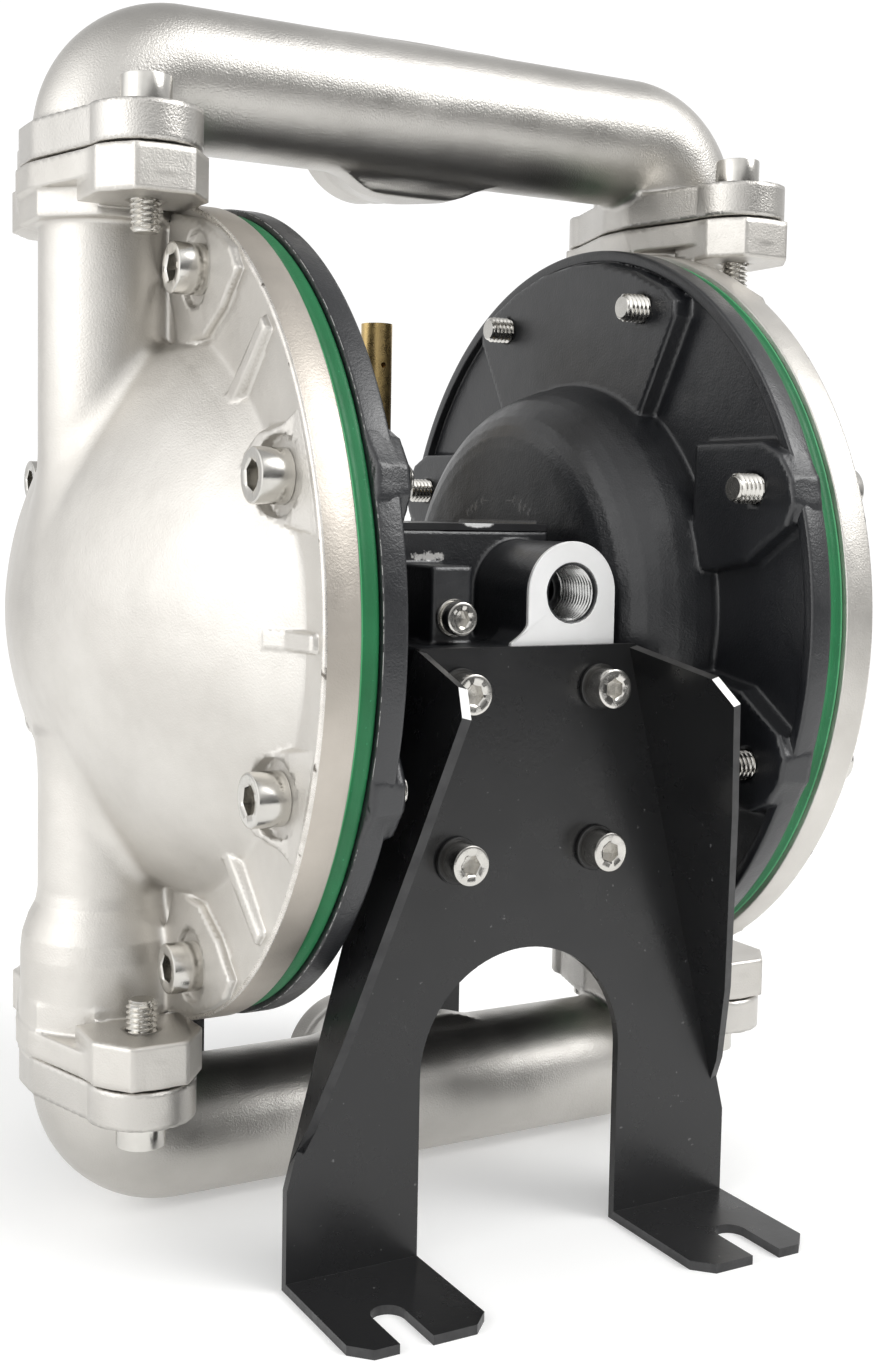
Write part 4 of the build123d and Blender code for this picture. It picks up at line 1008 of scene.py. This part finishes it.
def bore_thread(r0, depth, length, pitch, ro, n=72, cham=1.0):
    """Open ring whose inside carries a thread; along 0 at the mouth, going inwards."""
    th = 2 * pi * np.arange(n) / n
    rings = [(0.05, np.full(n, ro)), (0.0, np.full(n, r0 + depth + 0.35))]
    s = cham
    while s < length:
        t = ((s / pitch) - th / (2 * pi)) % 1.0
        a = min(1.0, (s - cham) / pitch)
        rings.append((s, r0 + depth * (1 - a * np.clip(1 - np.abs(2 * t - 1) * 1.15, 0, 1))))
        s += pitch / 8
    rings += [(length, np.full(n, r0 - 0.2)), (length, np.full(n, ro))]
    V = np.concatenate([np.stack([rr * np.cos(th), rr * np.sin(th), np.full(n, -ss)], 1) for ss, rr in rings])
    i = np.arange(n)
    j = (i + 1) % n
    m = len(rings)
    quads = np.concatenate([np.stack([k * n + i, k * n + j, ((k + 1) % m) * n + j, ((k + 1) % m) * n + i], 1) for k in range(m)])
    return V, quads, np.zeros((0, 3), dtype=int)


def plain_group(name, places, geo, mat, sharp=32):
    V0, quads, tris = geo
    Vs, F = [], []
    off = 0
    for pos, direction, spin in places:
        M = frame_to(direction, spin)
        Vs.append(V0 @ M.T + np.array(pos))
        F += (quads + off).tolist() + (tris + off).tolist()
        off += len(V0)
    me = bpy.data.meshes.new(name)
    me.from_pydata(to_world(np.concatenate(Vs)).tolist(), [], F)
    me.validate()
    bm = bmesh.new()
    bm.from_mesh(me)
    bmesh.ops.recalc_face_normals(bm, faces=bm.faces)
    bm.to_mesh(me)
    bm.free()
    me.polygons.foreach_set("use_smooth", np.ones(len(me.polygons), dtype=bool))
    me.set_sharp_from_angle(angle=radians(sharp))
    ob = new_object(name, me, mat)
    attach(ob, "pump")
    return ob


for side, sx in (("left", -1), ("right", 1)):
    # the left rim takes the darker copy of cast stainless as painted shade; the right rim takes plain cast stainless
    build_group("%s_fluid_cover_rim" % side, "%s_fluid_cover" % side, [((0, 0, 0), (sx, 0, 0), 0)],
                lathe([(86.95, 124.0), (86.95, 134.5), (87.1, 134.85), (87.45, 135.0), (97.3, 135.0), (97.75, 134.9), (98.1, 134.6), (98.3, 134.2), (98.3, 133.7), (98.3, 124.0)], 320), M_RIM_SHADE if side == "left" else M_CAST, sharp=60)
    build_group("%s_air_cover_rim" % side, "%s_air_cover" % side, [((0, 0, 0), (sx, 0, 0), 0)],
                lathe([(80.25, 130.7), (72.9, 130.7), (72.45, 131.0), (72.3, 131.4), (72.3, 134.1), (72.5, 134.65), (73.0, 134.95), (73.5, 135.0), (79.55, 135.0), (80.1, 134.85), (80.25, 134.4), (80.25, 132.1)], 320), M_BLACK, sharp=60)

def band_material(name, mat, test):
    """Second finish on the faces of a turned ring whose centre passes test(along, radius)."""
    me = bpy.data.objects[name].data
    me.materials.append(mat)
    k = len(me.materials) - 1
    for p in me.polygons:
        c = np.array(p.center) * 1000 - np.array([0, Y_SHIFT, Z_SHIFT])
        if test(abs(c[0]), np.hypot(c[1], c[2])):
            p.material_index = k


for side in ("left", "right"):
    band_material("%s_fluid_cover_rim" % side, M_CAST, lambda s, r: r < 133.9 and s > 98.0)
    # painted highlight band on the outer flange corner
    band_material("%s_fluid_cover_rim" % side, M_EDGE_HIGHLIGHT, lambda s, r: s > 97.4 and r > 133.8)
    # speckled painted highlight on the black rim's face next to the diaphragm
    band_material("%s_air_cover_rim" % side, M_SPECKLE_HIGHLIGHT, lambda s, r: s > 80.1 and r > 132.6)

plain_group("inlet_thread", [((17.3, YF - 0.10, 10.3), (0, -1, 0), 0.0)], bore_thread(8.75, 0.75, 20.0, 1.6, 9.78), M_TURNED, sharp=60)
plain_group("outlet_thread", [((0.0, 47.05, 177.8), (0, 1, 0), 0.0)], bore_thread(18.6, 0.95, 21.5, 2.31, 20.1, n=96), M_TURNED, sharp=60)
plain_group("suction_thread", [((0.0, 47.05, -178.6), (0, 1, 0), 0.0)], bore_thread(18.6, 0.95, 21.5, 2.31, 20.1, n=96), M_TURNED, sharp=60)

# diaphragms: the clamped edge as one turned ring, the web in twelve sectors between the edge and the rod
edge = [(80.3, 112.0), (80.3, 131.9), (80.45, 132.7), (80.9, 133.2), (81.6, 133.4), (82.4, 133.25), (83.4, 132.75), (84.3, 132.55), (85.2, 132.8), (85.8, 133.2), (86.3, 133.35), (86.7, 133.0), (86.9, 132.2), (86.9, 112.0)]
web = [(80.6, 112.6), (82.2, 108.8), (84.4, 95.5), (87.0, 79.5), (89.7, 63.5), (90.25, 59.5), (90.25, 6.4), (93.75, 6.4), (93.75, 61.0), (93.2, 65.0), (90.6, 80.0), (88.0, 96.0),
       (86.3, 110.5), (86.6, 112.6)]
for side, sx in (("left", -1), ("right", 1)):
    ob = build_group("%s_diaphragm_edge" % side, "%s_diaphragm" % side, [((0, 0, 0), (sx, 0, 0), 0)], lathe(edge, 192), M_RUBBER)
    # painted highlight band on the diaphragm bead
    band_material("%s_diaphragm_edge" % side, M_RUBBER_HIGHLIGHT, lambda s, r: s > 85.6 and r > 132.0)
    nsec = 12
    for k in range(nsec):
        a0, a1 = 2 * pi * k / nsec, 2 * pi * (k + 1) / nsec
        seg = 6
        sec = []
        for s, r in web:
            sec.append((s, r))
        dense = []
        for q in range(len(sec)):
            (s0, r0), (s1, r1) = sec[q], sec[(q + 1) % len(sec)]
            parts = max(1, int(abs(r1 - r0) / 6.0))
            for w in range(parts):
                dense.append((s0 + (s1 - s0) * w / parts, r0 + (r1 - r0) * w / parts))
        V, F = [], []
        m = len(dense)
        for t in range(seg + 1):
            a = a0 + (a1 - a0) * t / seg
            for s, r in dense:
                V.append((sx * s, r * cos(a), r * sin(a)))
        for t in range(seg):
            for q in range(m):
                A, B = t * m + q, t * m + (q + 1) % m
                F.append((A, B, B + m, A + m) if sx > 0 else (A, A + m, B + m, B))
        F.append(tuple(range(m))[::-1] if sx > 0 else tuple(range(m)))
        F.append(tuple(seg * m + q for q in range(m)) if sx > 0 else tuple(seg * m + q for q in range(m))[::-1])
        me = bpy.data.meshes.new("web")
        me.from_pydata(to_world(np.array(V)).tolist(), [], F)
        me.validate()
        me.polygons.foreach_set("use_smooth", np.ones(len(me.polygons), dtype=bool))
        me.set_sharp_from_angle(angle=radians(40))
        piece = new_object("%s_diaphragm_web_%02d" % (side, k + 1), me, M_RUBBER)
        bm = bmesh.new()
        bm.from_mesh(me)
        bmesh.ops.recalc_face_normals(bm, faces=bm.faces)
        bm.to_mesh(me)
        bm.free()
        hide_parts("%s_diaphragm" % side)
        am = (a0 + a1) / 2
        st = to_world((sx * 85.0, 110.0 * cos(am), 110.0 * sin(am)))
        en = to_world((sx * 85.0, 60.0 * cos(am), 60.0 * sin(am)))
        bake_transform(piece)


# ------------------------------------------------------------------ bevelled copies of plain machined pieces
def weighted_normals(me, limit):
    """Corner normals led by the largest faces round each vertex, within limit degrees."""
    nl = len(me.loops)
    lv = np.empty(nl, dtype=np.int32)
    me.loops.foreach_get("vertex_index", lv)
    npoly = len(me.polygons)
    ls = np.empty(npoly, dtype=np.int32)
    lt = np.empty(npoly, dtype=np.int32)
    ar = np.empty(npoly)
    nn = np.empty(npoly * 3)
    me.polygons.foreach_get("loop_start", ls)
    me.polygons.foreach_get("loop_total", lt)
    me.polygons.foreach_get("area", ar)
    me.polygons.foreach_get("normal", nn)
    nn = nn.reshape(-1, 3)
    lf = np.repeat(np.arange(npoly), lt)
    order = np.argsort(lv, kind='stable')
    starts = np.searchsorted(lv[order], np.arange(len(me.vertices) + 1))
    cl = cos(radians(limit))
    out = np.zeros((nl, 3))
    for v in range(len(me.vertices)):
        loops = order[starts[v]:starts[v + 1]]
        if len(loops) == 0:
            continue
        fs = lf[loops]
        N = nn[fs]
        W = (N @ N.T > cl) * (ar[fs] ** 1.5)[None, :]
        R = W @ N
        out[loops] = R / np.maximum(np.linalg.norm(R, axis=1, keepdims=True), 1e-20)
    me.normals_split_custom_set(out.tolist())


def bevelled(name, node, mat, width=0.5, segs=2, wide=None, wide_w=2.2, mats=None, mat_of=None, angle=28):
    src = NODES[node].data
    bm = bmesh.new()
    bm.from_mesh(src)
    bmesh.ops.remove_doubles(bm, verts=bm.verts, dist=2e-6)
    bmesh.ops.dissolve_limit(bm, angle_limit=radians(1.5), verts=bm.verts, edges=bm.edges, delimit={'NORMAL'})
    if wide is not None:
        ed = [e for e in bm.edges if len(e.link_faces) == 2 and e.calc_face_angle(0) > radians(angle) and wide(e)]
        if ed:
            bmesh.ops.bevel(bm, geom=ed, offset=wide_w * 0.001, segments=5, profile=0.5, affect='EDGES', clamp_overlap=True)
    ed = [e for e in bm.edges if len(e.link_faces) == 2 and e.calc_face_angle(0) > radians(angle)]
    bmesh.ops.bevel(bm, geom=ed, offset=width * 0.001, segments=segs, profile=0.5, affect='EDGES', clamp_overlap=True)
    bmesh.ops.triangulate(bm, faces=[f for f in bm.faces if len(f.verts) > 4], quad_method='BEAUTY', ngon_method='BEAUTY')
    me = bpy.data.meshes.new(name)
    bm.to_mesh(me)
    bm.free()
    me.validate()
    me.polygons.foreach_set("use_smooth", np.ones(len(me.polygons), dtype=bool))
    weighted_normals(me, 42.0)
    ob = new_object(name, me, mats or mat)
    if mat_of:
        me.polygons.foreach_set("material_index", np.array([mat_of(np.array(p.center) * 1000 - np.array([0, Y_SHIFT, Z_SHIFT]), np.array(p.normal)) for p in me.polygons], dtype=np.int32))
    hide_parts(node)
    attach(ob, NODES[node]["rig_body"])
    return ob


# folded brackets
_u = np.array([82.4 - 41.1, 0, -165.0 + 6.5]); _L = np.linalg.norm(_u); _u /= _L
_nrm = np.array([-_u[2], 0, _u[0]])
_sp = radians(6.5)
_w = np.array([0, -1, 0]) * cos(_sp) + _nrm * sin(_sp)


def bracket_fold(e, rear=False):
    """Fold edges: the wings' bend lines and the feet's bend lines."""
    a = np.array(e.verts[0].co) * 1000 - np.array([0, Y_SHIFT, Z_SHIFT])
    b = np.array(e.verts[1].co) * 1000 - np.array([0, Y_SHIFT, Z_SHIFT])
    if np.linalg.norm(a - b) < 25:
        return False
    if rear:
        a = np.array([a[0], 17.3 - a[1], a[2]])
        b = np.array([b[0], 17.3 - b[1], b[2]])
    # foot bends
    if abs(a[2] - b[2]) < 0.1 and min(a[2], b[2]) < -199 and abs(a[1] - b[1]) < 0.1 and a[1] > -86:
        return True
    # wing bends
    for p, q in ((a, b),):
        d = (q - p) / np.linalg.norm(q - p)
        for s in (1, -1):
            if abs(abs(d[0] * s * _u[0] + d[2] * _u[2]) - 1) < 2e-3 and abs(d[1]) < 0.02 and min(a[1], b[1]) > -86 and np.linalg.norm(a - b) > 60:
                return True
    return False


def bracket_mats(c, n, rear=False):
    """0 painted face, 1 bare corner, 2 cut edge made lighter as a painted highlight, 3 wing top edge made lighter still
    as a painted highlight.
    """
    if rear:
        c = np.array([c[0], 17.3 - c[1], c[2]])
        n = np.array([n[0], -n[1], n[2]])
    sg = 1.0 if c[0] > 0 else -1.0
    v = np.array([abs(c[0]) - 41.1, c[1] + 81.7, c[2] + 6.5])
    s, d = v @ _u, v @ _w
    wn = _nrm * cos(_sp) + np.array([0, 1, 0]) * sin(_sp)
    side = abs(n[0] * sg * wn[0] + n[1] * wn[1] + n[2] * wn[2])
    foot = c[2] < -200.9 and c[1] < -85.5
    if foot:
        return 2 if abs(n[2]) < 0.5 else 0
    if c[1] > -85.6 and abs(n[1]) < 0.5 and side < 0.6 and s < 168:
        return 2
    if d > 4.5:
        if side < 0.6:
            return 1 if (8.6 < s < 19.2 and d > 37.6) else (3 if s < 10.0 else 2)
        return 0
    if abs(n[1]) < 0.4 and side < 0.6:
        return 2
    return 0


# the brackets' cut edges and wing top edges carry painted highlights
for nm, rear in (("front", False), ("rear", True)):
    bevelled("folded_%s_bracket" % nm, "%s_bracket" % nm, None, width=0.35, segs=2,
             wide=(lambda r: (lambda e: bracket_fold(e, r)))(rear), wide_w=2.4, mats=[M_SHEET, M_BARE, M_CUT_HIGHLIGHT, M_TOPEDGE_HIGHLIGHT],
             mat_of=(lambda r: (lambda c, n: bracket_mats(c, n, r)))(rear))

# roof plate with its painted highlight
bevelled("edged_top_plate", "top_plate", M_ROOF_HIGHLIGHT, width=0.5)
bevelled("edged_valve_block", "valve_block", M_BLACK, width=0.8, segs=3)
bevelled("edged_valve_cap_left", "valve_cap_left", M_BLACK, width=0.7, segs=3)
bevelled("edged_valve_cap_right", "valve_cap_right", M_BLACK, width=0.7, segs=3)
bevelled("edged_exhaust_tube", "exhaust_tube", M_BRASS, width=0.25, segs=2, angle=40)


# ------------------------------------------------------------------ floor and light
def make_floor():
    me = bpy.data.meshes.new("floor")
    R = 1.35
    n = 96
    V = [(0, 0, 0)] + [(R * cos(2 * pi * i / n), R * sin(2 * pi * i / n), 0) for i in range(n)]
    me.from_pydata(V, [], [(0, 1 + i, 1 + (i + 1) % n) for i in range(n)])
    m = bpy.data.materials.new("pale_floor")
    m.use_nodes = True
    b = m.node_tree.nodes['Principled BSDF']
    b.inputs['Base Color'].default_value = (0.80, 0.80, 0.795, 1)
    b.inputs['Emission Color'].default_value = (1.0, 1.0, 1.0, 1)
    b.inputs['Emission Strength'].default_value = 0.27
    b.inputs['Roughness'].default_value = 0.75
    b.inputs['Specular IOR Level'].default_value = 0.25
    me.materials.append(m)
    ob = bpy.data.objects.new("floor", me)
    bpy.context.scene.collection.objects.link(ob)


make_floor()


def area(name, loc, target, size, power, color=(1, 1, 1)):
    L = bpy.data.lights.new(name, 'AREA')
    L.shape = 'RECTANGLE'
    L.size, L.size_y = size
    L.energy = power
    L.color = color
    ob = bpy.data.objects.new(name, L)
    bpy.context.scene.collection.objects.link(ob)
    ob.location = loc
    d = Vector(target) - Vector(loc)
    ob.rotation_euler = d.to_track_quat('-Z', 'Y').to_euler()
    return ob


area("key_left", (-1.5, -0.25, 0.7), (0, 0, 0.22), (0.9, 0.9), 3.0, (1.0, 0.99, 0.97))
area("key_right", (0.95, -1.05, 1.25), (0.0, 0, 0.25), (0.7, 0.6), 5.0, (1.0, 0.995, 0.985))

world = bpy.data.worlds.new("studio")
bpy.context.scene.world = world
world.use_nodes = True
wn = world.node_tree
wbg = wn.nodes['Background']
wtc = _n(wn, 'ShaderNodeTexCoord')
_sum = None


def glow(az, el, outer, inner, amount):
    """Soft patch of light (or shade, when negative) in one direction of the surroundings."""
    global _sum
    a, e = radians(az), radians(el)
    dot = _n(wn, 'ShaderNodeVectorMath', operation='DOT_PRODUCT')
    dot.inputs[1].default_value = (cos(a) * cos(e), sin(a) * cos(e), sin(e))
    wn.links.new(wtc.outputs['Generated'], dot.inputs[0])
    r = _n(wn, 'ShaderNodeMapRange', inputs={1: cos(radians(outer)), 2: cos(radians(inner)), 3: 0.0, 4: amount})
    r.interpolation_type = 'SMOOTHSTEP'
    wn.links.new(dot.outputs['Value'], r.inputs[0])
    add = _n(wn, 'ShaderNodeMath', operation='ADD')
    wn.links.new(r.outputs[0], add.inputs[0])
    if _sum is None:
        add.inputs[1].default_value = 0.78
    else:
        wn.links.new(_sum.outputs[0], add.inputs[1])
    _sum = add


glow(-72, -12, 54, 16, -0.52)    # dim room in front
glow(-15, -8, 38, 12, -0.22)
glow(-108, 34, 34, 10, 0.30)
glow(-97, -7, 15, 5, -0.20)      # dark gaps that only the bright screws show
glow(-66, -9, 17, 6, -0.24)
glow(-34, -8, 15, 5, -0.16)
glow(179, 14, 58, 20, 0.93)      # broad light on the left
glow(-48, 42, 27, 9, 3.15)       # soft box to the right of the camera
glow(70, 70, 45, 15, -0.25)
glow(61.6, -4, 46, 30, 0.30)     # bright backdrop
wn.links.new(_sum.outputs[0], wbg.inputs['Strength'])
wbg.inputs['Color'].default_value = (1.0, 1.0, 1.0, 1)

bpy.context.scene.view_settings.view_transform = 'Standard'
